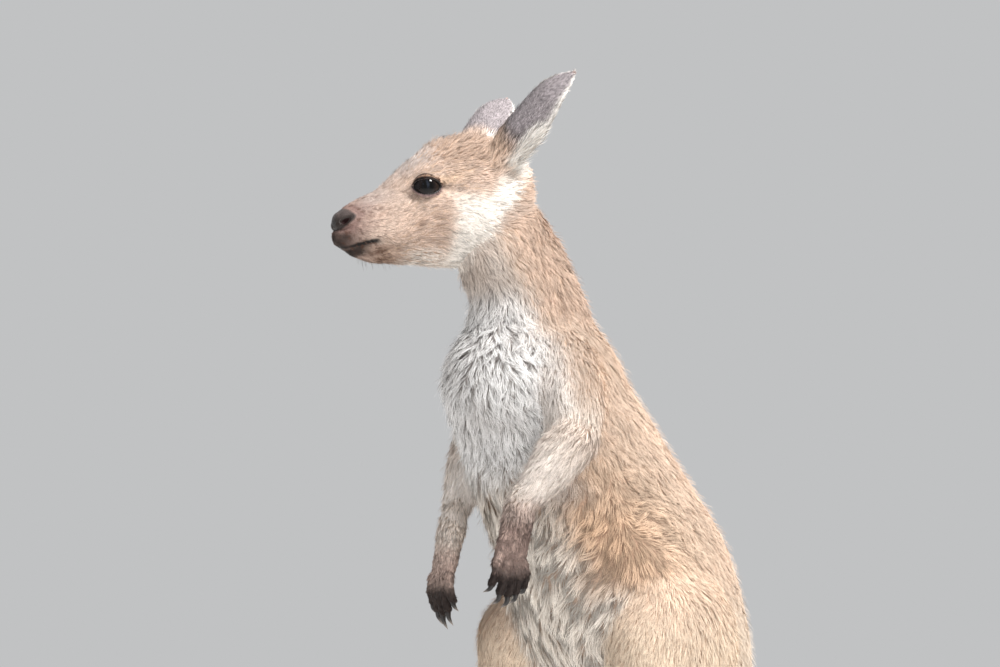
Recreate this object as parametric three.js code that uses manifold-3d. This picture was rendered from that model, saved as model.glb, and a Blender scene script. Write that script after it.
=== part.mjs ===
// A young grey kangaroo, life size, sitting up on its hind feet and tail with its forepaws hanging.
// Millimetres. +X is the way the chest points, +Y the animal's left, +Z up, the floor is z = 0.
// The body is built as lofts of oval sections along the limbs. Each piece of flesh is its own mesh,
// trimmed by its neighbour so that a gap of GAP is left between the two. All outlines are those of
// the coat, out to the tips of the fur.
import * as THREE from "three";
import { mergeVertices } from "three/addons/utils/BufferGeometryUtils.js";
import Module from "manifold-3d";

const wasm = await Module();
wasm.setup();

// Driving dimensions
const GAP = 0.35; // between two neighbouring pieces
const HEAD_TURN = THREE.MathUtils.degToRad(17); // the head is turned this far to its right
const NOSE = new THREE.Vector3(310, -44, 0); // under the tip of the nose
const EYE_RADIUS = 11.5;
const EYE_BACK = 64.5; // from the nose tip, along the head
const EYE_OUT = 20.5; // from the middle of the head to the centre of the eyeball
const EYE_HEIGHT = 600;
const EAR_ROOTS = { left: [127.5, 20, 620], right: [112, 24, 619] }; // back, out, height
const EAR_HALF_WIDTH = 18.5;
const EAR_THICKNESS = 3.2;
const KNEE_OUT = 77; // half the spread of the knees
const FOOT_OUT = 66; // half the spread of the heels
const FINGER_RADIUS = 5.3;
const FINGER_PITCH = 6.9; // between neighbouring fingers
const FINGER_SHARES = [0.7, 0.9, 1, 0.93, 0.66]; // reach of each, from the outermost to the thumb
const HAND_CLAW_LENGTH = 14;
const MAIN_CLAW_LENGTH = 24;

// Colours of the coat and the bare parts
const COAT = { fawn: 0xa58a6c, cream: 0xcfc3b2, grey: 0x8d8278, pale: 0xc9b99f, dark: 0x3b3029 };
const HORN = 0x2a2522;
const EYE_BROWN = 0x140d09;

// ---------------------------------------------------------------------------------------------
// Closed meshes

// The points half way, a third of the way and so on between rows, on a smooth curve through them
function refine(rows, steps) {
  const at = (i) => rows[Math.min(Math.max(i, 0), rows.length - 1)];
  const out = [];
  for (let i = 0; i < rows.length - 1; i++) {
    for (let j = 0; j < steps; j++) {
      const t = j / steps;
      const row = rows[i].map((_, k) => {
        const [a, b, c, d] = [at(i - 1)[k], at(i)[k], at(i + 1)[k], at(i + 2)[k]];
        const low = (c - a) / 2;
        const high = (d - b) / 2;
        const t2 = t * t;
        const t3 = t2 * t;
        return (2 * t3 - 3 * t2 + 1) * b + (t3 - 2 * t2 + t) * low + (3 * t2 - 2 * t3) * c + (t3 - t2) * high;
      });
      out.push(row);
    }
  }
  out.push(rows[rows.length - 1].slice());
  return out;
}

// A closed solid from rings of points; each end is closed by a fan, or by a strip across a folded ring
function closed(rings, folded = false) {
  const n = rings[0].length;
  const points = rings.flat();
  const faces = [];
  for (let r = 0; r < rings.length - 1; r++) {
    for (let i = 0; i < n; i++) {
      const a = r * n + i;
      const b = r * n + ((i + 1) % n);
      faces.push([a, b, b + n], [a, b + n, a + n]);
    }
  }
  const ends = [
    { first: 0, flip: true },
    { first: (rings.length - 1) * n, flip: false },
  ];
  for (const { first, flip } of ends) {
    const tri = (a, b, c) => faces.push(flip ? [c, b, a] : [a, b, c]);
    if (folded) {
      for (let i = 0; i < n / 2 - 1; i++) {
        const [a, b, c, d] = [first + i, first + i + 1, first + n - 2 - i, first + n - 1 - i];
        tri(a, b, d);
        if (b !== c) tri(b, c, d);
      }
    } else {
      const middle = new THREE.Vector3();
      for (let i = 0; i < n; i++) middle.addScaledVector(points[first + i], 1 / n);
      points.push(middle);
      for (let i = 0; i < n; i++) tri(first + i, first + ((i + 1) % n), points.length - 1);
    }
  }
  return solidOf(points, faces);
}

function solidOf(points, faces) {
  let volume = 0;
  for (const [a, b, c] of faces) {
    volume += points[a].dot(new THREE.Vector3().crossVectors(points[b], points[c]));
  }
  const triVerts = new Uint32Array((volume < 0 ? faces.map(([a, b, c]) => [a, c, b]) : faces).flat());
  const vertProperties = new Float32Array(points.flatMap((p) => p.toArray()));
  return new wasm.Manifold(new wasm.Mesh({ numProp: 3, vertProperties, triVerts }));
}

// A loft of oval sections. A row holds x, y, z of the middle, half the width, and the depth on the
// front and on the back of the middle. `front` says where the front is. With `level` the sections
// keep to the plane of `front` and `side`; without it they stand square to the limb. `ends` holds how
// far each rounded end reaches past the last section, 0 for a flat end. `range` keeps only the
// sections between two of the refined rows, and starts GAP after the first of them.
function loft(rows, options, grow = 0) {
  const { front, side = null, segments = 16, steps = 2, ends = [0, 0], power = 2.15, range = null } = options;
  const path = refine(rows, steps);
  const centre = (i) => new THREE.Vector3(...path[i]);
  let frames = path.map((row, i) => {
    const along = centre(Math.min(i + 1, path.length - 1)).sub(centre(Math.max(i - 1, 0))).normalize();
    const f = front.clone();
    if (side) return { c: centre(i), along, f, s: side.clone(), row };
    f.addScaledVector(along, -f.dot(along)).normalize();
    return { c: centre(i), along, f, s: new THREE.Vector3().crossVectors(f, along), row };
  });
  if (range) {
    frames = frames.slice(range[0], range[1] + 1);
    if (range[0] > 0) frames[0].c.addScaledVector(frames[0].along, GAP);
  }
  const ring = ({ c, f, s, row }, shift, shrink) => {
    const points = [];
    for (let i = 0; i < segments; i++) {
      const angle = (2 * Math.PI * (i + 0.5)) / segments;
      const [x, y] = [Math.cos(angle), Math.sin(angle)];
      const round = Math.pow(Math.pow(Math.abs(x), power) + Math.pow(Math.abs(y), power), -1 / power);
      const depth = (y > 0 ? row[4] : row[5]) + grow;
      const p = c.clone().add(shift);
      p.addScaledVector(s, x * round * (row[3] + grow) * shrink);
      p.addScaledVector(f, y * round * depth * shrink);
      points.push(p);
    }
    return points;
  };
  const still = new THREE.Vector3();
  const rings = frames.map((frame) => ring(frame, still, 1));
  const rounded = (frame, outward, reach) =>
    [38, 70].map((degrees) => {
      const a = THREE.MathUtils.degToRad(degrees);
      return ring(frame, outward.clone().multiplyScalar((reach + grow) * Math.sin(a)), Math.cos(a));
    });
  const square = ({ f, s }, along) => {
    const n = new THREE.Vector3().crossVectors(f, s).normalize();
    return n.multiplyScalar(Math.sign(n.dot(along)) || 1);
  };
  const first = frames[0];
  const last = frames[frames.length - 1];
  if (ends[0]) rings.unshift(...rounded(first, square(first, first.along).negate(), ends[0]).reverse());
  if (ends[1]) rings.push(...rounded(last, square(last, last.along), ends[1]));
  return closed(rings);
}

// Each piece of flesh is kept with its grown copy, which trims its neighbours
function piece(rows, options) {
  return { body: loft(rows, options), cutter: loft(rows, options, GAP) };
}

function join(pieces) {
  const sum = (key) => pieces.map((p) => p[key]).reduce((a, b) => a.add(b));
  return { body: sum("body"), cutter: sum("cutter") };
}

// A piece trimmed by its neighbours, of which the largest part is kept
function trim(target, neighbours) {
  const cut = (solid) => {
    let left = solid;
    for (const n of neighbours) left = left.subtract(n.cutter);
    return left.decompose().sort((a, b) => b.volume() - a.volume())[0];
  };
  return { body: cut(target.body), cutter: target.cutter };
}

const X = new THREE.Vector3(1, 0, 0);
const Y = new THREE.Vector3(0, 1, 0);
const Z = new THREE.Vector3(0, 0, 1);

// The solid below the floor, which leaves the flats that the feet and the tail stand on
const floorBox = new THREE.BoxGeometry(1400, 600, 80).translate(0, 0, -40);
const below = { cutter: fromGeometry(floorBox) };

function fromGeometry(geometry) {
  geometry.deleteAttribute("normal");
  geometry.deleteAttribute("uv");
  const merged = mergeVertices(geometry, 1e-4);
  return new wasm.Manifold(
    new wasm.Mesh({
      numProp: 3,
      vertProperties: new Float32Array(merged.attributes.position.array),
      triVerts: new Uint32Array(merged.index.array),
    }),
  );
}

const parts = [];
function add(name, solid, colour, roughness = 0.9) {
  parts.push({ name, solid, colour, roughness });
}

// ---------------------------------------------------------------------------------------------
// Trunk, in level sections from the shoulders down to the seat: x, y, z, half width, front, back

const trunk = piece(
  [
    [158, 0, 500, 43, 56, 52],
    [158, 0, 477, 54, 71, 70],
    [154, 0, 450, 61, 83, 81],
    [141, 0, 425, 63, 88, 87],
    [127, 0, 400, 65, 91, 92],
    [109, 0, 370, 69, 98, 97],
    [92, 0, 340, 73, 101, 102],
    [79, 0, 310, 77, 99, 103],
    [69, 0, 280, 79, 98, 102],
    [58, 0, 250, 78, 92, 97],
    [47, 0, 222, 72, 79, 87],
    [36, 0, 198, 60, 60, 71],
  ],
  { front: X, side: Y, segments: 18, steps: 1, ends: [18, 26] },
);

// Neck, in level sections from the chest up into the back of the head
const neck = piece(
  [
    [158, 0, 494, 43, 58, 54],
    [161, 0, 516, 37, 55, 50],
    [170, -1, 532, 36, 54, 51],
    [179, -3, 547, 36, 53, 54],
    [185, -4, 562, 35, 47, 52],
    [189, -6, 577, 34, 42, 46],
    [190, -8, 590, 32, 36, 39],
  ],
  { front: X, side: Y, segments: 14, steps: 1, ends: [0, 12] },
);

// ---------------------------------------------------------------------------------------------
// Head, in upright sections square to its length. `along` runs back from the nose tip, `out` to
// the animal's left.

const ahead = new THREE.Vector3(Math.cos(HEAD_TURN), -Math.sin(HEAD_TURN), 0);
const outward = new THREE.Vector3(Math.sin(HEAD_TURN), Math.cos(HEAD_TURN), 0);
const onHead = (along, out, z) =>
  NOSE.clone().addScaledVector(ahead, -along).addScaledVector(outward, out).setZ(z);

// How far back, height of the widest level, half width, top, underside
const HEAD_SECTIONS = [
  [0.5, 568, 9.8, 580.5, 554.5],
  [5, 568, 12.6, 584.5, 551],
  [11, 568, 14.6, 588.5, 547.5],
  [19, 568, 16.5, 593, 544.5],
  [30, 568, 18.8, 598.5, 541.5],
  [41, 570, 21.5, 608.5, 541],
  [52, 573, 25.5, 619.5, 540.5],
  [63, 578, 29.5, 628.5, 540],
  [74, 582, 32.5, 636.5, 539],
  [86, 585, 36, 640.5, 538.5],
  [99, 586, 38.5, 643, 539],
  [114, 588, 38.5, 643, 543.5],
  [129, 590, 36, 638, 551],
  [141, 593, 31, 629, 560],
  [148, 594, 26, 621, 569],
];
const skull = piece(
  HEAD_SECTIONS.map(([along, level, half, top, under]) => [
    ...onHead(along, 0, level).toArray(),
    half,
    top - level,
    level - under,
  ]),
  { front: Z, side: outward, segments: 20, steps: 1, ends: [4, 9], power: 2.1 },
);

// Eyeballs
const eyes = {};
for (const [name, s] of [["left", 1], ["right", -1]]) {
  const at = onHead(EYE_BACK, s * EYE_OUT, EYE_HEIGHT);
  const ball = (r) => fromGeometry(new THREE.SphereGeometry(r, 12, 8).translate(at.x, at.y, at.z));
  eyes[name] = { body: ball(EYE_RADIUS), cutter: ball(EYE_RADIUS + 0.5) };
}

// An ear: a leaf folded into a scoop. Each section is an arc as wide as the leaf there, closing
// towards a tube at the root, and `open` is the way the hollow faces.
function ear(root, tip, open, grow = 0) {
  const axis = tip.clone().sub(root);
  const length = axis.length();
  axis.normalize();
  const hollow = open.clone().addScaledVector(axis, -open.dot(axis)).normalize();
  const across = new THREE.Vector3().crossVectors(axis, hollow);
  const rings = [];
  const STEPS = 8;
  const ARC = 7;
  for (let i = 0; i <= STEPS; i++) {
    const t = i / STEPS;
    const leaf = 0.87 * (0.75 + t) * (1 - Math.pow(t, 2.5)) + 0.04;
    const half = EAR_HALF_WIDTH * Math.max(leaf, 0.1);
    const fold = THREE.MathUtils.degToRad(132 - 78 * Math.min(1, t * 1.35));
    const radius = half / Math.sin(Math.min(fold, Math.PI / 2));
    const thick = EAR_THICKNESS * (1.35 - 0.55 * t) + 2 * grow;
    const middle = root.clone().addScaledVector(axis, (length + grow) * t - grow);
    middle.addScaledVector(hollow, radius * Math.cos(fold) * 0.5 - Math.sin(Math.PI * t) - 2 * t);
    const arc = (r, ends) => {
      const points = [];
      for (let j = 0; j < ARC; j++) {
        const a = (fold + ends) * ((2 * j) / (ARC - 1) - 1);
        const p = middle.clone();
        p.addScaledVector(hollow, -r * Math.cos(a));
        p.addScaledVector(across, r * Math.sin(a));
        points.push(p);
      }
      return points;
    };
    const outer = arc(radius + grow, grow / radius);
    const inner = arc(Math.max(radius + grow - thick, radius * 0.3), grow / radius).reverse();
    rings.push([...outer, ...inner]);
  }
  return closed(rings, true);
}
const EAR_TIPS = { left: [43.4, 47, 66.7], right: [49, 47, 60] }; // back, out and up from the root
const EAR_HOLLOWS = { left: [0.8, -0.55, -0.3], right: [0.5, 0.75, -0.4] }; // the ears turn on their own
const ears = {};
for (const [name, s] of [["left", 1], ["right", -1]]) {
  const [back, out, height] = EAR_ROOTS[name];
  const [tipBack, tipOut, tipUp] = EAR_TIPS[name];
  const [openBack, openOut, openUp] = EAR_HOLLOWS[name];
  const root = onHead(back, s * out, height);
  const tip = onHead(back + tipBack, s * (out + tipOut), height + tipUp);
  const open = ahead.clone().multiplyScalar(-openBack);
  open.addScaledVector(outward, s * openOut).addScaledVector(Z, openUp);
  ears[name] = { body: ear(root, tip, open.normalize()) };
}

// ---------------------------------------------------------------------------------------------
// Tail, in one line from the rump to its tip, cut square into three lengths

const TAIL = [
  [22, 0, 214, 50, 48, 50],
  [-20, 0, 178, 45, 45, 47],
  [-60, 0, 140, 38, 38, 40],
  [-100, 0, 103, 31, 32, 32],
  [-140, 1, 67, 27, 28, 28],
  [-182, 4, 39, 24, 25, 25],
  [-230, 8, 22.5, 21.5, 22, 23.5],
  [-285, 12, 18.2, 18.5, 18, 19.5],
  [-340, 14, 15.4, 15.7, 15, 16.6],
  [-395, 12, 12.4, 12.4, 12, 13.5],
  [-445, 7, 9, 9, 9, 10],
  [-478, 2, 6.2, 6.2, 6, 7],
];
const tailLength = (from, to, ends) =>
  piece(TAIL, { front: Z, segments: 12, steps: 2, range: [from, to], ends });
const tailBase = tailLength(0, 8, [20, 0]);
const tailMiddle = tailLength(8, 15, [0, 0]);
const tailTip = tailLength(15, 22, [0, 6]);

// ---------------------------------------------------------------------------------------------
// A hind leg: thigh, shank and the long foot with its toes. `s` is 1 on the left, -1 on the right.

const THIGH_FRONT = new THREE.Vector3(0.6, 0, 0.8);

function hindLeg(s, { forward: k, lift: l }) {
  const limb = (rows, options) => piece(rows.map(([x, y, ...rest]) => [x, s * y, ...rest]), options);
  const thigh = limb(
    [
      [40, 48, 277, 33, 35, 50],
      [55, 58, 270, 39, 47, 66],
      [75 + 0.4 * k, 66, 257 + 0.4 * l, 41, 52, 66],
      [94 + 0.8 * k, 72, 241 + 0.8 * l, 37, 46, 56],
      [106 + k, KNEE_OUT - 2, 226 + l, 32, 37, 39],
    ],
    { front: THIGH_FRONT, segments: 14, steps: 1, ends: [18, 22] },
  );
  const shank = limb(
    [
      [105 + k, KNEE_OUT - 1, 221 + l, 30, 32, 33],
      [82 + 0.9 * k, KNEE_OUT, 198 + 0.9 * l, 29.5, 29, 38],
      [46 + 0.6 * k, 75, 161 + 0.6 * l, 26, 25, 36],
      [8 + 0.3 * k, 72, 121 + 0.3 * l, 19.5, 20, 28],
      [-27, 69, 84, 14, 15, 20],
      [-52, 66.5, 54, 12, 13.5, 18],
      [-62, FOOT_OUT, 36, 12, 14, 17],
    ],
    { front: X, segments: 10, steps: 1, ends: [20, 11] },
  );
  const sole = limb(
    [
      [-76, FOOT_OUT - 1, 16, 11, 15, 17.5],
      [-56, FOOT_OUT, 18, 14, 19, 19.5],
      [-22, FOOT_OUT + 0.5, 16, 13, 14, 17.5],
      [28, FOOT_OUT + 2, 14, 13, 11.5, 15.5],
      [68, FOOT_OUT + 4, 13, 15, 10.5, 14.5],
      [96, FOOT_OUT + 5.5, 11.5, 13, 9.5, 13],
      [122, FOOT_OUT + 6.5, 11, 10.5, 9, 12.4],
      [150, FOOT_OUT + 7, 10, 9.5, 8, 11.4],
    ],
    { front: Z, segments: 12, steps: 1, ends: [10, 9] },
  );
  const outerToe = limb(
    [
      [58, FOOT_OUT + 13, 11, 7.5, 8, 12.3],
      [88, FOOT_OUT + 19, 9.6, 6.8, 6.5, 10.8],
      [114, FOOT_OUT + 21.5, 8.4, 6.2, 6, 9.6],
    ],
    { front: Z, segments: 8, steps: 1, ends: [0, 0] },
  );
  const twinToe = limb(
    [
      [60, FOOT_OUT - 9, 11, 5.4, 6.5, 12.2],
      [86, FOOT_OUT - 9.5, 9.6, 5.6, 5.6, 10.6],
      [104, FOOT_OUT - 9.5, 8.6, 5.2, 5, 9.5],
    ],
    { front: Z, segments: 8, steps: 1, ends: [0, 0] },
  );
  const claw = (x, y, z, length, half, splay = 0) =>
    limb(
      [
        [x, y, z, half, half * 1.1, half * 0.9],
        [x + length * 0.4, y + splay * 0.4, z - 0.4, half * 0.85, half, half * 0.8],
        [x + length * 0.8, y + splay * 0.8, z - 2.2, half * 0.5, half * 0.55, half * 0.5],
        [x + length, y + splay, z - 3.6, half * 0.16, half * 0.2, half * 0.2],
      ],
      { front: Z, segments: 6, steps: 1 },
    );
  return {
    thigh,
    shank,
    foot: join([sole, outerToe, twinToe]),
    claws: [
      claw(153, FOOT_OUT + 7, 9, MAIN_CLAW_LENGTH, 5),
      claw(114.6, FOOT_OUT + 21.5, 7.4, 13, 3.2, 1),
      claw(104.6, FOOT_OUT - 12, 8, 10, 2),
      claw(104.6, FOOT_OUT - 7, 8, 10, 2),
    ],
  };
}

// ---------------------------------------------------------------------------------------------
// A forelimb: upper arm, forearm, and a hand with five fingers hanging from the wrist

function foreLeg(s, { elbow, wrist, knuckles, hang, spread, fur, curl }) {
  const mix = (a, b, t) => a.map((v, i) => v + (b[i] - v) * t);
  const limb = (rows, options) => piece(rows.map(([x, y, ...rest]) => [x, s * y, ...rest]), options);
  const shoulder = [156, 37, 480];
  const upper = limb(
    [
      [...shoulder, 20, 26, 27],
      [...mix(shoulder, elbow, 0.33), 24.5, 29, 31],
      [...mix(shoulder, elbow, 0.68), 24, 28, 29],
      [...elbow, 19, 23, 22],
    ],
    { front: X, segments: 11, steps: 1, ends: [14, 9] },
  );
  const fore = limb(
    [
      [...mix(elbow, wrist, 0.02), 20.5 * fur, 22.5 * fur, 22.5 * fur],
      [...mix(elbow, wrist, 0.3), 20 * fur, 22 * fur, 22 * fur],
      [...mix(elbow, wrist, 0.65), 16 * fur, 17 * fur, 16.5 * fur],
      [...mix(elbow, wrist, 0.98), 11.3, 11.4, 11.2],
    ],
    { front: X, segments: 11, steps: 1, ends: [14, 7] },
  );
  const back = new THREE.Vector3(Math.sin(spread), s * Math.cos(spread), 0); // the back of the hand
  const fan = new THREE.Vector3(Math.cos(spread), -s * Math.sin(spread), 0); // across the knuckles
  const place = (p, across, out = 0) => {
    const q = new THREE.Vector3(p[0], s * p[1], p[2]);
    return q.addScaledVector(fan, across).addScaledVector(back, out).toArray();
  };
  const palm = piece(
    [
      [...place(mix(wrist, knuckles, -0.05), 0), 10.8, 10.2, 10.2],
      [...place(mix(wrist, knuckles, 0.35), 0), 14, 9.8, 9.4],
      [...place(mix(wrist, knuckles, 0.8), 0), 17, 8, 8],
      [...place(knuckles, 0), 16.5, 6.5, 6.5],
    ],
    { front: back, segments: 10, steps: 1, ends: [5, 4] },
  );
  const fingers = [];
  const claws = [];
  for (let i = 0; i < 5; i++) {
    const off = (i - 2) * FINGER_PITCH;
    const short = FINGER_SHARES[i];
    const reach = hang * short;
    const down = (amount, across, out) => {
      const p = place(knuckles, across, out);
      return [p[0], p[1], p[2] - amount];
    };
    const r = FINGER_RADIUS;
    fingers.push(
      piece(
        [
          [...down(-6, off * 0.85, 0), r, r, r],
          [...down(reach * 0.5, off * 1.1, 1.4), r * 0.95, r, r * 0.95],
          [...down(reach, off * 1.24, -1.6 * curl), r * 0.78, r * 0.8, r * 0.8],
        ],
        { front: back, segments: 6, steps: 1 },
      ),
    );
    const c = HAND_CLAW_LENGTH * short;
    const h = 2.4;
    const start = reach + 2 * GAP;
    claws.push(
      piece(
        [
          [...down(start, off * 1.25, -1.6 * curl), h, h * 1.2, h],
          [...down(start + c * 0.4, off * 1.29, -2.8 * curl), h * 0.75, h * 0.9, h * 0.8],
          [...down(start + c * (1 - 0.35 * curl), off * 1.33, -2 - 7 * curl), 0.45, 0.5, 0.5],
        ],
        { front: back, segments: 6, steps: 1 },
      ),
    );
  }
  return { upper, fore, hand: join([palm, ...fingers]), claws };
}

const legs = {
  left: hindLeg(1, { forward: 0, lift: 0 }),
  right: hindLeg(-1, { forward: 24, lift: 20 }), // this knee is drawn up a little more
};
const arms = {
  left: foreLeg(1, {
    elbow: [169, 76, 412],
    wrist: [213, 61, 353],
    knuckles: [219, 55, 312],
    hang: 25,
    spread: THREE.MathUtils.degToRad(-10),
    fur: 1,
    curl: 0.9,
  }),
  right: foreLeg(-1, {
    elbow: [158, 76, 410],
    wrist: [197, 52, 345],
    knuckles: [208, 50, 303],
    hang: 28,
    spread: THREE.MathUtils.degToRad(82),
    fur: 0.9,
    curl: 0.3,
  }),
};

// ---------------------------------------------------------------------------------------------
// Trimming and naming

add("trunk", trunk.body, COAT.fawn);
add("neck", trim(neck, [trunk, skull]).body, COAT.grey);
add("head", trim(skull, [eyes.left, eyes.right]).body, COAT.cream);

for (const side of ["left", "right"]) {
  add(`eye_${side}`, eyes[side].body, EYE_BROWN, 0.12);
  add(`ear_${side}`, trim(ears[side], [skull, neck]).body, COAT.grey);

  const arm = arms[side];
  const upper = trim(arm.upper, [trunk, neck]);
  const fore = trim(arm.fore, [trunk, upper]);
  const hand = trim(arm.hand, [trunk, fore]);
  add(`upper_arm_${side}`, upper.body, COAT.cream);
  add(`forearm_${side}`, fore.body, COAT.pale);
  add(`hand_${side}`, hand.body, COAT.dark);
  arm.claws.forEach((claw, i) => {
    add(`hand_claw_${side}_${i + 1}`, trim(claw, [hand]).body, HORN, 0.35);
  });
}

for (const side of ["left", "right"]) {
  const leg = legs[side];
  const thigh = trim(leg.thigh, [trunk]);
  const shank = trim(leg.shank, [thigh, trunk]);
  const foot = trim(leg.foot, [shank, below]);
  add(`thigh_${side}`, thigh.body, COAT.pale);
  add(`shank_${side}`, shank.body, COAT.pale);
  add(`foot_${side}`, foot.body, COAT.dark);
  leg.claws.forEach((claw, i) => {
    add(`foot_claw_${side}_${i + 1}`, trim(claw, [leg.foot, below]).body, HORN, 0.35);
  });
}

const thighs = [legs.left.thigh, legs.right.thigh];
add("tail_base", trim(tailBase, [trunk, ...thighs, below]).body, COAT.fawn);
add("tail_middle", trim(tailMiddle, [below]).body, COAT.grey);
add("tail_tip", trim(tailTip, [below]).body, COAT.dark);

// The origin is the middle of the model's outline on the floor
const kangaroo = new THREE.Group();
kangaroo.name = "kangaroo";
for (const { name, solid, colour, roughness } of parts) {
  const { vertProperties, triVerts } = solid.getMesh();
  const geometry = new THREE.BufferGeometry();
  geometry.setAttribute("position", new THREE.BufferAttribute(new Float32Array(vertProperties), 3));
  geometry.setIndex(new THREE.BufferAttribute(new Uint32Array(triVerts), 1));
  geometry.computeVertexNormals();
  const material = new THREE.MeshStandardMaterial({ color: colour, roughness, metalness: 0 });
  const mesh = new THREE.Mesh(geometry, material);
  mesh.name = name;
  kangaroo.add(mesh);
}
const outline = new THREE.Box3().setFromObject(kangaroo);
const middle = outline.getCenter(new THREE.Vector3());
for (const mesh of kangaroo.children) mesh.geometry.translate(-middle.x, -middle.y, 0);

export default kangaroo;
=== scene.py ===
"""A young grey kangaroo, life size: one sculpted skin, a coat of solid tufts, eyes, claws and whiskers.

Shapes are worked out in millimetres, in the body's own coordinates (+X ahead, +Y its left, +Z up,
floor at 0), and moved to the frame's origin when a mesh is made. On the head, a is the way back from
the nose, o the way out to the left and z the height. Where a shape is made for both sides, s is 1 on
the left and -1 on the right.
"""

import math

import bmesh
import bpy
import numpy as np
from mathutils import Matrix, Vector
from mathutils.kdtree import KDTree


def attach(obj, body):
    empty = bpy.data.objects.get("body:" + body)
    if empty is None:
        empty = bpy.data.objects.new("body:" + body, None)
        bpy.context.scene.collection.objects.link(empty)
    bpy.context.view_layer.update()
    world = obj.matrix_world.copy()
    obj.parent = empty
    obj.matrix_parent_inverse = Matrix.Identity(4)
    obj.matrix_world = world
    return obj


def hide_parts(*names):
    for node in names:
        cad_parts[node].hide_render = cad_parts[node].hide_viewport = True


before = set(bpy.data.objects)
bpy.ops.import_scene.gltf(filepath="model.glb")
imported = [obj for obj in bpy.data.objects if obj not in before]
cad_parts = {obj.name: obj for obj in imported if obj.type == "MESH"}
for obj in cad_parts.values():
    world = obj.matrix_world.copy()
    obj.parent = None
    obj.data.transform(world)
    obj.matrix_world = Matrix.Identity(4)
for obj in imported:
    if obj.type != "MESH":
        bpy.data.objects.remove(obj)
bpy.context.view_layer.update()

MM = 0.001
MIDDLE = np.array([-84.905, -0.1985, 0.0])  # the middle of the outline, where the frame has its origin
X, Y, Z = np.eye(3)
SIDES = (("left", 1), ("right", -1))
rng = np.random.default_rng(7)

# ------------------------------------------------------------------------------------------------
# Small mathematics


def unit(v):
    return v / np.maximum(np.linalg.norm(v, axis=-1, keepdims=True), 1e-9)


def dot(a, b):
    return (a * b).sum(-1)


def step(low, high, x):
    """Smooth step from 0 at low to 1 at high."""
    t = np.clip((x - low) / (high - low), 0, 1)
    return t * t * (3 - 2 * t)


def near(x, middle, reach):
    """1 at the middle, falling as a bell; the reach is where it is down to about a third."""
    return np.exp(-(((x - middle) / reach) ** 2))


def mix(a, b, t):
    t = np.asarray(t)
    if np.ndim(a) > np.ndim(t) or np.ndim(b) > np.ndim(t):
        t = t[..., None]
    return a + (b - a) * t


def cell_value(i, j, k, seed):
    """A repeatable number from 0 to 1 for each cell of a lattice."""
    n = (i * 374761393 + j * 668265263 + k * 2147483647 + seed * 1274126177) & 0xFFFFFFFF
    n = ((n ^ (n >> 13)) * 1103515245) & 0xFFFFFFFF
    n = ((n ^ (n >> 16)) * 2654435761) & 0xFFFFFFFF
    return ((n ^ (n >> 15)) & 0xFFFFFF) / float(0xFFFFFF)


def noise(p, size, seed=0):
    """Smooth noise from -1 to 1 with lumps of the given size."""
    q = np.asarray(p, float) / size + 1000.0
    base = np.floor(q).astype(np.int64)
    f = q - base
    f = f * f * (3 - 2 * f)
    total = np.zeros(len(q))
    for corner in range(8):
        d = np.array([corner & 1, (corner >> 1) & 1, corner >> 2])
        weight = np.prod(np.where(d, f, 1 - f), axis=1)
        total += weight * cell_value(*(base + d).T, seed)
    return total * 2 - 1


def far_from(p, place):
    """Distance of each point from a place."""
    return np.linalg.norm(p - place, axis=1)


def tree_of(points):
    """A search tree that finds the nearest of the points."""
    tree = KDTree(len(points))
    for i, p in enumerate(points):
        tree.insert(p, i)
    tree.balance()
    return tree


def linear(r, g, b):
    """A colour given as on a screen, as the renderer counts it."""
    c = np.array([r, g, b], float)
    return np.where(c <= 0.04045, c / 12.92, ((c + 0.055) / 1.055) ** 2.4)


# ------------------------------------------------------------------------------------------------
# Camera, light and floor

TARGET = Vector((0.27103, -0.00359, 0.490))
CAMERA_AZIMUTH = math.radians(145)
CAMERA_ELEVATION = math.radians(-4)
CAMERA_DISTANCE = 4.0
LENS = 187.0
# Name, azimuth, elevation, distance from the target, size, power, colour
LIGHTS = (
    ("key", 189, 50, 2.6, 0.7, 112, (1.0, 0.985, 0.96)),
    ("fill", 122, 30, 3.0, 1.6, 21, (0.97, 0.985, 1.0)),
    ("rim", 268, 55, 2.6, 0.7, 34, (1.0, 0.965, 0.92)),
)
SKY_COLOUR = (0.86, 0.87, 0.88, 1)
SKY_STRENGTH = 0.62
FLOOR_RADIUS = 7


def direction(azimuth, elevation):
    flat = math.cos(elevation)
    return Vector((math.sin(azimuth) * flat, -math.cos(azimuth) * flat, math.sin(elevation)))


def aim(ob, place, target):
    ob.location = place
    ob.rotation_mode = "QUATERNION"
    ob.rotation_quaternion = (target - place).to_track_quat("-Z", "Y")


def link(ob):
    bpy.context.scene.collection.objects.link(ob)
    return ob


def make_camera():
    camera = link(bpy.data.objects.new("camera", bpy.data.cameras.new("camera")))
    camera.data.lens = LENS
    camera.data.sensor_width = 36
    camera.data.clip_start, camera.data.clip_end = 0.05, 50
    aim(camera, TARGET + direction(CAMERA_AZIMUTH, CAMERA_ELEVATION) * CAMERA_DISTANCE, TARGET)
    bpy.context.scene.camera = camera


def area_light(name, azimuth, elevation, away, size, power, colour):
    data = bpy.data.lights.new(name, "AREA")
    data.shape = "DISK"
    data.size = size
    data.energy = power
    data.color = colour
    light = link(bpy.data.objects.new(name, data))
    light.visible_glossy = name == "key"  # the eyes mirror one light alone
    towards = direction(math.radians(azimuth), math.radians(elevation))
    aim(light, TARGET + towards * away, TARGET)


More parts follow.
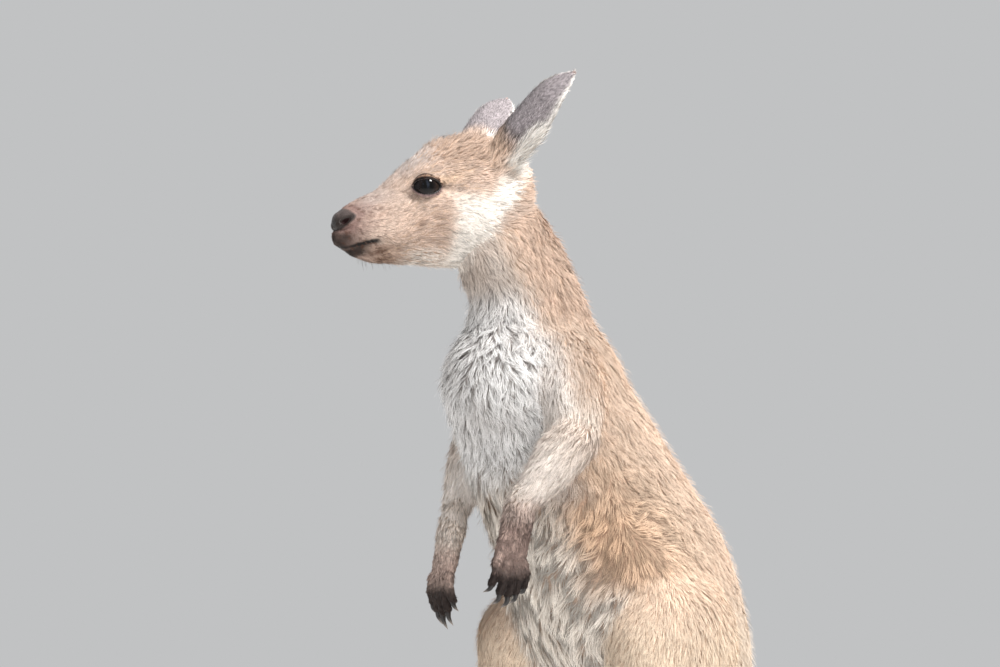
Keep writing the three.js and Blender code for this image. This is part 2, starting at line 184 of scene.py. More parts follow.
def make_studio():
    for light in LIGHTS:
        area_light(*light)
    world = bpy.data.worlds.new("studio")
    world.use_nodes = True
    shade = world.node_tree.nodes["Background"]
    shade.inputs["Color"].default_value = SKY_COLOUR
    shade.inputs["Strength"].default_value = SKY_STRENGTH
    bpy.context.scene.world = world
    bpy.context.scene.view_settings.view_transform = "Standard"

    bm = bmesh.new()
    bmesh.ops.create_circle(bm, cap_ends=True, segments=96, radius=FLOOR_RADIUS)
    mesh = bpy.data.meshes.new("floor")
    bm.to_mesh(mesh)
    bm.free()
    floor = link(bpy.data.objects.new("floor", mesh))
    paint = Paint("floor")
    grain = paint.node("ShaderNodeTexNoise", Scale=14.0, Detail=4.0)
    tones = [(0.35, (0.80, 0.79, 0.78)), (0.65, (0.84, 0.83, 0.82))]
    paint.link(paint.ramp(grain.outputs["Fac"], tones), "Base Color")
    paint.set(Roughness=0.7)
    mesh.materials.append(paint.material)


# ------------------------------------------------------------------------------------------------
# Materials


class Paint:
    """A node material with one Principled shader."""

    def __init__(self, name):
        self.material = bpy.data.materials.new(name)
        self.material.use_nodes = True
        self.tree = self.material.node_tree
        self.shader = self.tree.nodes["Principled BSDF"]

    def node(self, kind, **values):
        made = self.tree.nodes.new(kind)
        for key, value in values.items():
            if key in made.inputs:
                made.inputs[key].default_value = value
            else:
                setattr(made, key, value)
        return made

    def join(self, source, socket):
        self.tree.links.new(source, socket)

    def link(self, source, name):
        self.join(source, self.shader.inputs[name])

    def set(self, **values):
        for key, value in values.items():
            self.shader.inputs[key.replace("_", " ")].default_value = value

    def ramp(self, source, stops):
        """Colours, or single numbers for greys, at places from 0 to 1."""
        made = self.node("ShaderNodeValToRGB")
        elements = made.color_ramp.elements
        while len(elements) < len(stops):
            elements.new(0.5)
        for element, (place, colour) in zip(elements, stops):
            element.position = place
            element.color = (*np.broadcast_to(colour, 3), 1)
        self.join(source, made.inputs["Fac"])
        return made.outputs["Color"]

    def times(self, a, b, factor=1.0):
        made = self.node("ShaderNodeMix", data_type="RGBA", blend_type="MULTIPLY")
        made.inputs[0].default_value = factor
        self.join(a, made.inputs[6])
        self.join(b, made.inputs[7])
        return made.outputs[2]

    def attribute(self, name, output="Color"):
        return self.node("ShaderNodeAttribute", attribute_name=name).outputs[output]

    def bump(self, height, strength, distance):
        made = self.node("ShaderNodeBump", Strength=strength, Distance=distance)
        self.join(height, made.inputs["Height"])
        self.link(made.outputs["Normal"], "Normal")

    def grain(self, scale, detail=3.0):
        coordinates = self.node("ShaderNodeTexCoord")
        made = self.node("ShaderNodeTexNoise", Scale=scale, Detail=detail, Roughness=0.6)
        self.join(coordinates.outputs["Object"], made.inputs["Vector"])
        return made.outputs["Fac"]

    def flecks(self, scale, *stops):
        return self.ramp(self.grain(scale), stops)

    def tone(self, *flecks):
        """The base colour is the mesh's own tone times each of the flecks."""
        colour = self.attribute("tone")
        for fleck in flecks:
            colour = self.times(colour, fleck)
        self.link(colour, "Base Color")


def coat_material():
    paint = Paint("coat")
    paint.tone(paint.flecks(900, (0.30, 0.86), (0.70, 1.10)), paint.flecks(60, (0.30, 0.93), (0.70, 1.05)))
    paint.link(paint.flecks(400, (0.3, 0.62), (0.7, 0.80)), "Roughness")
    paint.set(Specular_IOR_Level=0.13, Sheen_Weight=0.06, Sheen_Roughness=0.4)
    return paint.material


def skin_material():
    """Bare skin and underfur: streaked and mottled, moist where `wet` says so."""
    paint = Paint("skin")
    paint.tone(paint.flecks(1100, (0.32, 0.74), (0.68, 1.15)))
    wet = paint.attribute("wet", "Fac")
    paint.link(paint.ramp(wet, [(0.0, 0.72), (1.0, 0.22)]), "Roughness")
    paint.bump(paint.grain(1500, 4.0), 0.55, 0.0006)
    paint.set(Specular_IOR_Level=0.24)
    return paint.material


def claw_material():
    paint = Paint("claw")
    paint.tone(paint.flecks(700, (0.3, 0.75), (0.7, 1.25)))
    paint.link(paint.flecks(300, (0.3, 0.28), (0.7, 0.42)), "Roughness")
    paint.bump(paint.grain(900), 0.2, 0.0003)
    return paint.material


def eye_material():
    paint = Paint("eye")
    paint.tone(paint.flecks(1400, (0.35, 0.6), (0.65, 1.4)))
    paint.set(Roughness=0.05, IOR=1.3)
    return paint.material


def whisker_material():
    paint = Paint("whisker")
    dark, light = (0.05, 0.04, 0.035), (0.16, 0.13, 0.11)
    paint.link(paint.flecks(200, (0.3, dark), (0.7, light)), "Base Color")
    paint.set(Roughness=0.5)
    return paint.material


# ------------------------------------------------------------------------------------------------
# Meshes


def make_mesh(name, points, faces):
    """A mesh from points in the body's millimetres; faces are lists, or an array of triangles."""
    mesh = bpy.data.meshes.new(name)
    placed = (np.asarray(points) - MIDDLE) * MM
    if isinstance(faces, np.ndarray):
        mesh.vertices.add(len(placed))
        mesh.vertices.foreach_set("co", placed.astype(np.float32).ravel())
        mesh.loops.add(faces.size)
        mesh.loops.foreach_set("vertex_index", faces.astype(np.int32).ravel())
        mesh.polygons.add(len(faces))
        starts = np.arange(0, faces.size, faces.shape[1], dtype=np.int32)
        mesh.polygons.foreach_set("loop_start", starts)
        mesh.update(calc_edges=True)
    else:
        mesh.from_pydata(placed.tolist(), [], faces)
    return mesh


def object_of(name, mesh):
    return link(bpy.data.objects.new(name, mesh))


def smooth_piece(name, mesh, material):
    mesh.shade_smooth()
    mesh.materials.clear()
    mesh.materials.append(material)
    return object_of(name, mesh)


def points_of(mesh):
    co = np.empty(len(mesh.vertices) * 3, np.float32)
    mesh.vertices.foreach_get("co", co)
    return co.reshape(-1, 3).astype(float) / MM + MIDDLE


def set_points(mesh, points):
    mesh.vertices.foreach_set("co", ((points - MIDDLE) * MM).astype(np.float32).ravel())
    mesh.update()


def normals_of(mesh):
    out = np.empty(len(mesh.vertices) * 3, np.float32)
    mesh.vertices.foreach_get("normal", out)
    return unit(out.reshape(-1, 3).astype(float))


def edges_of(mesh):
    out = np.empty(len(mesh.edges) * 2, np.int32)
    mesh.edges.foreach_get("vertices", out)
    return out.reshape(-1, 2)


def set_colours(mesh, name, colours):
    layer = mesh.color_attributes.new(name, "FLOAT_COLOR", "POINT")
    full = np.ones((len(colours), 4), np.float32)
    full[:, :3] = colours
    layer.data.foreach_set("color", full.ravel())


def set_numbers(mesh, name, numbers):
    layer = mesh.attributes.new(name, "FLOAT", "POINT")
    layer.data.foreach_set("value", np.asarray(numbers, np.float32))


def baked(ob):
    """The object's mesh with its modifiers applied; the object is removed."""
    graph = bpy.context.evaluated_depsgraph_get()
    mesh = bpy.data.meshes.new_from_object(ob.evaluated_get(graph))
    bpy.data.objects.remove(ob)
    return mesh


class Net:
    """Averages over the neighbours of each vertex of a mesh."""

    def __init__(self, mesh):
        self.ends = edges_of(mesh)
        self.size = len(mesh.vertices)
        both = np.concatenate([self.ends[:, 0], self.ends[:, 1]])
        self.count = np.maximum(np.bincount(both, minlength=self.size), 1)

    def mean(self, values):
        a, b = self.ends.T
        columns = values.reshape(self.size, -1)
        out = np.empty_like(columns, float)
        for k in range(columns.shape[1]):
            out[:, k] = np.bincount(a, columns[b, k], self.size) + np.bincount(b, columns[a, k], self.size)
        out /= self.count[:, None]
        return out.reshape(values.shape)

    def soften(self, values, times, share=0.5):
        if np.ndim(share):
            share = share[:, None]
        for _ in range(times):
            values = values + (self.mean(values) - values) * share
        return values


def smooth(mesh, times, share=0.5):
    set_points(mesh, Net(mesh).soften(points_of(mesh), times, share))


def swell(mesh, amount):
    """Moves each vertex out along its normal."""
    set_points(mesh, points_of(mesh) + normals_of(mesh) * amount[:, None])


def keep_above(mesh, height):
    points = points_of(mesh)
    points[:, 2] = np.maximum(points[:, 2], height)
    set_points(mesh, points)


def fill_creases(mesh, times, limit=0.02, weight=None):
    """Fills the hollow creases between joined forms and leaves full forms as they are."""
    net = Net(mesh)
    points = points_of(mesh)
    for _ in range(times):
        shift = net.mean(points) - points
        set_points(mesh, points)
        hollow = dot(shift, normals_of(mesh))
        share = step(limit, limit * 5, hollow) * 0.8
        if weight is not None:
            share = share * weight
        points = points + shift * share[:, None]
    set_points(mesh, points)


# ------------------------------------------------------------------------------------------------
# Lofts of oval sections along the body and its limbs


def refine(rows, steps):
    """Rows on a smooth curve through the given rows."""
    rows = np.array(rows, float)
    i = np.arange(len(rows) - 1)
    a, b = rows[np.maximum(i - 1, 0)][:, None], rows[i][:, None]
    c, d = rows[i + 1][:, None], rows[np.minimum(i + 2, len(rows) - 1)][:, None]
    t = (np.arange(steps) / steps)[None, :, None]
    low, high = (c - a) / 2, (d - b) / 2
    t2, t3 = t * t, t * t * t
    out = (2 * t3 - 3 * t2 + 1) * b + (t3 - 2 * t2 + t) * low + (3 * t2 - 2 * t3) * c + (t3 - t2) * high
    return np.concatenate([out.reshape(-1, rows.shape[1]), rows[-1:]])


class Form:
    """A closed tube: rings of points, with the way the hair runs along it and a place on the unwrap."""

    def __init__(self, part, rings, poles, folded=False):
        self.part = part
        self.rings = np.asarray(rings)
        self.count, self.around = self.rings.shape[:2]
        self.poles = poles
        self.folded = folded
        middles = self.rings.mean(1)
        self.tangent = unit(np.gradient(middles, axis=0))
        steps = np.linalg.norm(np.diff(middles, axis=0), axis=1)
        self.distance = np.concatenate([[0], np.cumsum(steps)])
        girths = np.linalg.norm(np.diff(self.rings, axis=1, append=self.rings[:, :1]), axis=2).sum(1)
        self.girth = girths.max()

    def mesh_data(self):
        n = self.around
        points = self.rings.reshape(-1, 3)
        faces = []
        for r in range(self.count - 1):
            for i in range(n):
                a, b = r * n + i, r * n + (i + 1) % n
                faces.append((a, b, b + n, a + n))
        last = (self.count - 1) * n
        for first, flip in ((0, True), (last, False)):
            if self.folded:
                end = first + n - 1
                caps = [(first + i, first + i + 1, end - 1 - i, end - i) for i in range(n // 2 - 1)]
            else:
                pole = len(points)
                points = np.vstack([points, self.poles[0 if flip else 1]])
                caps = [(first + i, first + (i + 1) % n, pole) for i in range(n)]
            faces += [tuple(reversed(c)) for c in caps] if flip else caps
        return points, faces

    def outward(self):
        points, faces = self.mesh_data()
        corners = np.array([f[:3] for f in faces])
        rest = np.array([(f[0], f[2], f[3]) for f in faces if len(f) == 4])
        if len(rest):
            corners = np.vstack([corners, rest])
        a, b, c = points[corners[:, 0]], points[corners[:, 1]], points[corners[:, 2]]
        if dot(a, np.cross(b, c)).sum() < 0:
            faces = [tuple(reversed(f)) for f in faces]
        return points, faces


DOME = np.radians([15, 30, 45, 58, 70, 80])  # where the rings of a rounded end are


def loft(part, rows, front, side=None, segments=40, steps=6, ends=(0, 0), power=2.15, depth=(0, 0, 0)):
    """A tube of oval sections through rows of x, y, z, half width, front and back, less the depth of the
    coat at the side, the front and the back; `ends` are the lengths of its rounded ends."""
    path = refine(rows, steps)
    c = path[:, :3]
    n = len(path)
    i = np.arange(n)
    along = unit(c[np.minimum(i + 1, n - 1)] - c[np.maximum(i - 1, 0)])
    f = np.tile(np.asarray(front, float), (n, 1))
    if side is None:
        f = unit(f - dot(f, along)[:, None] * along)
        s = np.cross(f, along)
    else:
        s = np.tile(np.asarray(side, float), (n, 1))
    angle = 2 * np.pi * (np.arange(segments) + 0.5) / segments
    x, y = np.cos(angle), np.sin(angle)
    rounded = (np.abs(x) ** power + np.abs(y) ** power) ** (-1 / power)

    def ring(k, shift, shrink):
        across = (path[k, 3] - depth[0]) * shrink * x * rounded
        deep = np.where(y > 0, path[k, 4] - depth[1], path[k, 5] - depth[2]) * shrink * y * rounded
        return c[k] + shift + across[:, None] * s[k] + deep[:, None] * f[k]

    rings = [ring(k, 0, 1) for k in range(n)]
    poles = [c[0], c[-1]]
    inset = np.mean(depth)
    for end, k, sign in ((0, 0, -1), (1, n - 1, 1)):
        if not ends[end]:
            continue
        out = unit(np.cross(f[k], s[k]))
        out = out * (np.sign(dot(out, along[k])) or 1) * sign
        reach = max(ends[end] - inset, 1)
        dome = [ring(k, out * reach * math.sin(a), math.cos(a)) for a in DOME]
        rings = dome[::-1] + rings if end == 0 else rings + dome
        poles[end] = c[k] + out * reach
    return Form(part, rings, poles)


def joined_mesh(name, forms):
    points, faces, base = [], [], 0
    for form in forms:
        p, f = form.outward()
        points.append(p)
        faces += [tuple(v + base for v in face) for face in f]
        base += len(p)
    return make_mesh(name, np.vstack(points), faces)


def remeshed(name, forms, voxel, smoothing):
    ob = object_of(name, joined_mesh(name, forms))
    modifier = ob.modifiers.new("voxels", "REMESH")
    modifier.mode = "VOXEL"
    modifier.voxel_size = voxel * MM
    mesh = baked(ob)
    smooth(mesh, smoothing)
    return mesh


# ------------------------------------------------------------------------------------------------
# The body's tables, as outlines of the coat: x, y, z of the middle, half width, front, back

TRUNK = [
    [158, 0, 500, 43, 56, 52],
    [158, 0, 477, 54, 71, 70],
    [154, 0, 450, 61, 83, 81],
    [141, 0, 425, 63, 88, 87],
    [127, 0, 400, 65, 91, 92],
    [109, 0, 370, 69, 98, 97],
    [92, 0, 340, 73, 101, 102],
    [79, 0, 310, 77, 99, 103],
    [69, 0, 280, 79, 98, 102],
    [58, 0, 250, 78, 92, 97],
    [47, 0, 222, 72, 79, 87],
    [36, 0, 198, 60, 60, 71],
]
NECK = [
    [158, 0, 494, 43, 58, 54],
    [161, 0, 516, 37, 55, 50],
    [170, -1, 532, 36, 54, 51],
    [179, -3, 547, 36, 53, 54],
    [185, -4, 562, 35, 47, 52],
    [189, -6, 577, 34, 42, 46],
    [190, -8, 590, 32, 36, 39],
]
TAIL = [
    [22, 0, 214, 50, 48, 50],
    [-20, 0, 178, 45, 45, 47],
    [-60, 0, 140, 38, 38, 40],
    [-100, 0, 103, 31, 32, 32],
    [-140, 1, 67, 27, 28, 28],
    [-182, 4, 39, 24, 25, 25],
    [-230, 8, 22.5, 21.5, 22, 23.5],
    [-285, 12, 18.2, 18.5, 18, 19.5],
    [-340, 14, 15.4, 15.7, 15, 16.6],
    [-395, 12, 12.4, 12.4, 12, 13.5],
    [-445, 7, 9, 9, 9, 10],
    [-478, 2, 6.2, 6.2, 6, 7],
]
HEAD_TURN = math.radians(17)
AHEAD = np.array([math.cos(HEAD_TURN), -math.sin(HEAD_TURN), 0])
OUTWARD = np.array([math.sin(HEAD_TURN), math.cos(HEAD_TURN), 0])
NOSE = np.array([310.0, -44.0, 0.0])
# Back from the nose, height of the widest level, half width, top, underside
HEAD_SECTIONS = [
    [0.5, 568, 9.8, 580.5, 554.5],
    [5, 568, 12.6, 584.5, 551],
    [11, 568, 14.6, 588.5, 547.5],
    [19, 568, 16.5, 593, 544.5],
    [30, 568, 18.8, 598.5, 541.5],
    [41, 570, 21.5, 608.5, 541],
    [52, 573, 25.5, 619.5, 540.5],
    [63, 578, 29.5, 628.5, 540],
    [74, 582, 32.5, 636.5, 539],
    [86, 585, 36, 640.5, 538.5],
    [99, 586, 38.5, 643, 539],
    [114, 588, 38.5, 643, 543.5],
    [129, 590, 36, 638, 551],
    [141, 593, 31, 629, 560],
    [148, 594, 26, 621, 569],
]
EYE_RADIUS = 11.4
EYE_PLACE = (65.0, 20.5, 599.2)
KNEE_OUT = 77
FOOT_OUT = 66
FINGER_RADIUS = 4.2  # of the bare finger; its hair takes 1.1 more
FINGER_PITCH = 6.9
FINGER_SHARES = [0.7, 0.9, 1, 0.93, 0.66]  # reach of each, from the outermost to the thumb
SHOULDER = np.array([156.0, 37.0, 480.0])
# Joints of the fore leg, reach of its longest finger (hang), turn of the hand in degrees (spread), the
# forearm's share of its full fur, curl of the fingers, and how far the knee is drawn forward and up
POSES = {
    "left": dict(
        elbow=[169, 76, 412], wrist=[213, 61, 353], knuckles=[219, 55, 312], hang=25, spread=-10,
        fur=1.0, curl=0.9, forward=0, lift=0,
    ),
    "right": dict(
        elbow=[158, 76, 410], wrist=[197, 52, 345], knuckles=[208, 50, 303], hang=28, spread=82,
        fur=0.9, curl=0.3, forward=24, lift=20,
    ),
}


def on_head(along, out, height):
    return NOSE - along * AHEAD + out * OUTWARD + height * Z


def head_place(p):
    """Back from the nose, out to the left, and height."""
    rel = p - NOSE
    return -dot(rel, AHEAD), dot(rel, OUTWARD), p[..., 2]


def hind_leg(side, s):
    ahead, up = POSES[side]["forward"], POSES[side]["lift"]
    flip = lambda rows: [[x, s * y, *rest] for x, y, *rest in rows]
    thigh = loft("thigh", flip([
        [40, 48, 277, 33, 35, 50],
        [55, 58, 270, 39, 47, 66],
        [75 + 0.4 * ahead, 66, 257 + 0.4 * up, 41, 52, 66],
        [94 + 0.8 * ahead, 72, 241 + 0.8 * up, 37, 46, 56],
        [106 + ahead, KNEE_OUT - 2, 226 + up, 32, 37, 39],
    ]), (0.6, 0, 0.8), ends=(18, 22), depth=(5, 5, 5))
    shank = loft("shank", flip([
        [105 + ahead, KNEE_OUT - 1, 221 + up, 30, 32, 33],
        [82 + 0.9 * ahead, KNEE_OUT, 198 + 0.9 * up, 29.5, 29, 38],
        [46 + 0.6 * ahead, 75, 161 + 0.6 * up, 26, 25, 36],
        [8 + 0.3 * ahead, 72, 121 + 0.3 * up, 19.5, 20, 28],
        [-27, 69, 84, 14, 15, 20],
        [-52, 66.5, 54, 12, 13.5, 18],
        [-62, FOOT_OUT, 36, 12, 14, 17],
    ]), X, segments=32, ends=(20, 11), depth=(3, 3, 3))
    fine = dict(front=Z, segments=36, depth=(1.2, 1.2, 0.6))
    sole = loft("foot", flip([
        [-76, FOOT_OUT - 1, 16, 11, 15, 17.5],
        [-56, FOOT_OUT, 18, 14, 19, 19.5],
        [-22, FOOT_OUT + 0.5, 16, 13, 14, 17.5],
        [28, FOOT_OUT + 2, 14, 13, 11.5, 15.5],
        [68, FOOT_OUT + 4, 13, 15, 10.5, 14.5],
        [96, FOOT_OUT + 5.5, 11.5, 13, 9.5, 13],
        [122, FOOT_OUT + 6.5, 11, 10.5, 9, 12.4],
        [150, FOOT_OUT + 7, 10, 9.5, 8, 11.4],
    ]), ends=(10, 9), **fine)
    outer_toe = loft("foot", flip([
        [58, FOOT_OUT + 13, 11, 7.5, 8, 12.3],
        [88, FOOT_OUT + 19, 9.6, 6.8, 6.5, 10.8],
        [114, FOOT_OUT + 21.5, 8.4, 6.2, 6, 9.6],
    ]), ends=(4, 3), **fine)
    twin_toe = loft("foot", flip([
        [60, FOOT_OUT - 9, 11, 5.4, 6.5, 12.2],
        [86, FOOT_OUT - 9.5, 9.6, 5.6, 5.6, 10.6],
        [104, FOOT_OUT - 9.5, 8.6, 5.2, 5, 9.5],
    ]), ends=(4, 3), **fine)
    return [thigh, shank], [sole, outer_toe, twin_toe]


def toe_claws(s):
    """Place of the root, length, half width and splay of each claw of a foot."""
    return [
        ((153, s * (FOOT_OUT + 7), 9), 24, 5, 0),
        ((114.6, s * (FOOT_OUT + 21.5), 7.4), 13, 3.2, s * 1.0),
        ((104.6, s * (FOOT_OUT - 12), 8), 10, 2, 0),
        ((104.6, s * (FOOT_OUT - 7), 8), 10, 2, 0),
    ]


def hand_frame(side, s):
    """The way the hand's back looks, and a function that places a point on the hand."""
    spread = math.radians(POSES[side]["spread"])
    back = np.array([math.sin(spread), s * math.cos(spread), 0])
    fan = np.array([math.cos(spread), -s * math.sin(spread), 0])
    knuckles = np.array(POSES[side]["knuckles"]) * [1, s, 1]

    def place(across, down, out=0.0):
        return knuckles + fan * across + back * out - Z * down

    return back, place


def finger_reaches(side):
    """For each finger: how far it is off the hand's middle, its reach, and its share of the longest."""
    for i, share in enumerate(FINGER_SHARES):
        yield (i - 2) * FINGER_PITCH, POSES[side]["hang"] * share, share


def fore_leg(side, s):
    pose = POSES[side]
    flip = np.array([1, s, 1])
    shoulder, elbow, wrist, knuckles = (
        np.array(p, float) * flip for p in (SHOULDER, pose["elbow"], pose["wrist"], pose["knuckles"])
    )
    rows = lambda a, b, table: [[*(a + (b - a) * t), *rest] for t, *rest in table]
    upper = loft("upper_arm", rows(shoulder, elbow, [
        [0, 20, 26, 27], [0.33, 24.5, 29, 31], [0.68, 24, 28, 29], [1, 19, 23, 22],
    ]), X, ends=(14, 9), depth=(5, 5, 5))
    fur = pose["fur"]
    fore = loft("forearm", rows(elbow, wrist, [
        [0.02, 20.5 * fur, 22.5 * fur, 22.5 * fur], [0.3, 20 * fur, 22 * fur, 22 * fur],
        [0.65, 16.6 * fur, 17.4 * fur, 17 * fur], [0.98, 13.2, 13, 12.8],
    ]), X, segments=32, ends=(14, 7), depth=(3, 3, 3))
    back, place = hand_frame(side, s)
    palm = loft("hand", rows(wrist, knuckles, [
        [-0.35, 7.5, 7.5, 7.5], [0.0, 11, 10.4, 10.2], [0.35, 13.4, 9.9, 9.4],
        [0.75, 16.4, 8, 8], [0.93, 16, 6.4, 6.6],
    ]), back, segments=32, ends=(5, 4), depth=(1.2, 1.2, 1.0))
    curl = pose["curl"]
    table = [  # share of the reach, across, out, thickness: the joints are a little fuller
        [-0.38, 0.72, -1.5, 0.6], [0.0, 0.96, 0.9, 0.98], [0.28, 1.05, 1.7, 0.86],
        [0.50, 1.1, 1.9, 0.95], [0.76, 1.17, 0.9 - 0.5 * curl, 0.78], [0.96, 1.24, -1.6 * curl, 0.80],
    ]
    fingers = []
    for off, reach, _ in finger_reaches(side):
        path = [
            [*place(off * across, reach * t, out), *[FINGER_RADIUS * thick] * 3]
            for t, across, out, thick in table
        ]
        fingers.append(loft("hand", path, back, segments=20, steps=5, ends=(0, 2.4)))
    return [upper, fore], [palm, *fingers]


EAR_HALF_WIDTH = 18.5
EAR_COAT = 0.9  # the hair of both faces together
EAR_RINGS = 46
EAR_POINTS = 27  # across each face
# Back, out and height of the root; from there to the tip; and the way that the hollow faces
EAR_ROOTS = {"left": (127.5, 20, 620), "right": (112, 24, 619)}
EAR_TIPS = {"left": (43.4, 47, 66.7), "right": (49, 47, 60)}
EAR_HOLLOWS = {"left": (0.8, -0.55, -0.3), "right": (0.5, 0.75, -0.4)}


def ear_base(ear):
    """The fleshy root that the ear's scoop rises from."""
    rows = [
        [*(ear.root + ear.axis * d - ear.hollow * (3.5 + 0.05 * d)), r, r, r]
        for d, r in ((-22, 22), (-12, 19.5), (-4, 16.6), (4, 14), (9, 12.2))
    ]
    return loft("head", rows, ear.hollow, segments=40, ends=(4, 4))


def ear_form(side, s):
    """A leaf folded into a scoop, closing towards a tube at the root."""
    back, out, height = EAR_ROOTS[side]
    tip_back, tip_out, tip_up = EAR_TIPS[side]
    root = on_head(back, s * out, height)
    tip = on_head(back + tip_back, s * (out + tip_out), height + tip_up)
    length = np.linalg.norm(tip - root)
    axis = (tip - root) / length
    b, o, u = EAR_HOLLOWS[side]
    hollow = unit(-b * AHEAD + s * o * OUTWARD + u * Z)
    hollow = unit(hollow - dot(hollow, axis) * axis)
    across = np.cross(axis, hollow)
    sweep = np.linspace(-1, 1, EAR_POINTS)
    edge = 1 - 0.25 * np.abs(sweep) ** 12
    rings = []
    for t in np.linspace(-0.06, 0.985, EAR_RINGS):
        q = max(t, 0)
        leaf = 0.87 * (0.75 + q) * (1 - min(q, 1) ** 3.1) + 0.04
        half = EAR_HALF_WIDTH * max(leaf, 0.1) - 0.5
        fold = math.radians(132 - 78 * min(1, q * 1.35))
        radius = half / math.sin(min(fold, math.pi / 2))
        thick = 3.2 * (1.35 - 0.55 * q) - EAR_COAT
        middle = root + axis * length * t
        middle = middle + hollow * (radius * math.cos(fold) * 0.5 - math.sin(math.pi * q) - 2 * q)
        a = fold * sweep
        spoke = -np.cos(a)[:, None] * hollow + np.sin(a)[:, None] * across
        skin = radius - EAR_COAT / 2
        outer = middle + skin * spoke
        inner = middle + np.maximum(skin - thick * edge, radius * 0.3)[:, None] * spoke
        rings.append(np.vstack([outer, inner[::-1]]))
    form = Form("ear", rings, None, folded=True)
    form.axis, form.hollow, form.root = axis, hollow, root
    return form


# ------------------------------------------------------------------------------------------------
# The head: sculpted over its loft, in head coordinates

# Raised and sunk forms on both sides: (back, out, height), (their reaches), how far out
HEAD_FORMS = [
    ((86, 34, 570), (20, 14, 17), 2.2),  # cheek
    ((61, 21, 613), (14, 8, 5.5), 2.2),  # brow
    ((46, 18, 592), (8, 8, 8), -0.9),  # hollow before the eye
    ((70, 30, 583), (18, 9, 6), 0.9),  # rim below the eye
    ((95, 30, 612), (12, 12, 12), -1.2),  # temple
    ((24, 17, 564), (13, 8, 8), 1.2),  # lip pad
    ((50, 19, 551), (16, 10, 7), -1.0),  # behind the chin
    ((9, 10, 575), (6, 5, 5), 0.7),  # wing of the nose
    ((0, 0, 575), (6, 9, 6), 0.9),  # tip of the nose
    ((22, 8, 543), (12, 9, 5), 1.8),  # chin
    ((7, 4, 545), (7, 8, 4), 2.4),  # lower lip
]
NOSTRIL = [(0.5, 6.0, 570.4), (3.5, 8.4, 571.8), (7.0, 10.1, 574.2), (10.0, 11.2, 576.4)]
MOUTH = [(0.5, 0.0, 552.6), (3.0, 5.0, 551.4), (6.0, 8.5, 551.4), (9.1, 10.5, 552.4), (13.0, 12.5, 553.8),
         (18.2, 14.8, 555.2), (23.0, 16.4, 556.4), (27.5, 17.4, 557.2)]
NOSTRIL_DEPTH = 5.5
MOUTH_DEPTH = 2.4
STREAK = [(41.0, 600.5), (47.0, 594.5), (53.5, 588.0)]  # a fold in the skin before the eye: back, height
TEAR = [(48.5, 617.0), (47.0, 609.0), (48.0, 602.0)]  # another, down from the brow


def flat_distance(a, z, line):
    """Distance in side view to a line of (back, height)."""
    best = np.full(len(a), 1e9)
    for (a0, z0), (a1, z1) in zip(line[:-1], line[1:]):
        t = np.clip(((a - a0) * (a1 - a0) + (z - z0) * (z1 - z0)) / ((a1 - a0) ** 2 + (z1 - z0) ** 2), 0, 1)
        best = np.minimum(best, np.hypot(a - a0 - t * (a1 - a0), z - z0 - t * (z1 - z0)))
    return best


def line_distance(p, line, s):
    """Distance from each point to a line given in head coordinates, and how far along it, 0 to 1."""
    line = np.array([on_head(a, s * o, z) for a, o, z in line])
    best = np.full(len(p), 1e9)
    share = np.zeros(len(p))
    for i, (a, b) in enumerate(zip(line[:-1], line[1:])):
        t = np.clip(dot(p - a, b - a) / dot(b - a, b - a), 0, 1)
        d = far_from(p - a, t[:, None] * (b - a))
        closer = d < best
        best[closer] = d[closer]
        share[closer] = (i + t[closer]) / (len(line) - 1)
    return best, share


def both_lines(p, line):
    """Distance from each point to the nearer of a line and its mirror image."""
    return np.minimum(*(line_distance(p, line, s)[0] for s in (1, -1)))


def nostril_width(t):
    return 0.9 + 1.8 * near(t, 0.42, 0.42)


def mouth_height(a):
    """Height of the line between the lips."""
    return np.interp(a, [m[0] for m in MOUTH], [m[2] for m in MOUTH])


def eye_frame(s):
    """Centre of an eyeball, the way it looks, forward along the lids, and up."""
    centre = on_head(EYE_PLACE[0], s * EYE_PLACE[1], EYE_PLACE[2])
    look = unit(0.20 * AHEAD + 0.95 * s * OUTWARD + 0.02 * Z)
    ahead = unit(AHEAD - 0.01 * Z)
    ahead = unit(ahead - dot(ahead, look) * look)
    up = np.cross(look, ahead) * s
    if up[2] < 0:
        up = -up
    return centre, look, ahead, up


LID_REACH = 64.0  # degrees from the middle of the eye to its corners
LID_UP = 29.5
LID_DOWN = 30.0
LID_ROUND = 2.2  # a higher power makes the corners squarer


def lid_distance(p, s):
    """Degrees outside the edge of the lids, seen from the eyeball's centre; height and way across in
    degrees; and distance, direction and the centre itself."""
    centre, look, ahead, up = eye_frame(s)
    d = p - centre
    r = np.linalg.norm(d, axis=-1)
    d = unit(d)
    across = np.degrees(np.arctan2(dot(d, ahead), dot(d, look)))
    height = np.degrees(np.arcsin(np.clip(dot(d, up), -1, 1)))
    x = np.abs(across / LID_REACH)
    arch = np.clip(1 - x ** LID_ROUND, 0, 1)
    upper = LID_UP * arch ** 0.66 * (1 + 0.2 * across / LID_REACH)  # the arch is highest before its middle
    edge = np.maximum(height - upper, -LID_DOWN * arch ** 0.8 - height)
    beyond = np.hypot((x - 1) * LID_REACH, height)
    return np.where(x < 1, edge, beyond), height, across, r, d, centre


def shape_lids(p):
    for _, s in SIDES:
        t, height, across, r, d, centre = lid_distance(p, s)
        upper = step(-6, 6, height)
        lid = EYE_RADIUS + mix(-1.6, 0.75, step(-3.5, 1.0, t))
        lid = lid + mix(0.35, 0.7, upper) * near(t, 5, 5)
        lid = lid - mix(0.15, 0.22, upper) * near(t, mix(14, 19, upper), 3.2)
        lid = lid + 0.4 * near(t, 24, 5)
        lid = lid - 0.22 * near(t, 19, 1.6) * (1 - upper)
        blend = step(9, 42, t)
        facing = (np.abs(across) < 125) & (r < 34)
        new = mix(lid, r, blend)
        p = np.where(facing[:, None], centre + d * new[:, None], p)
    return p


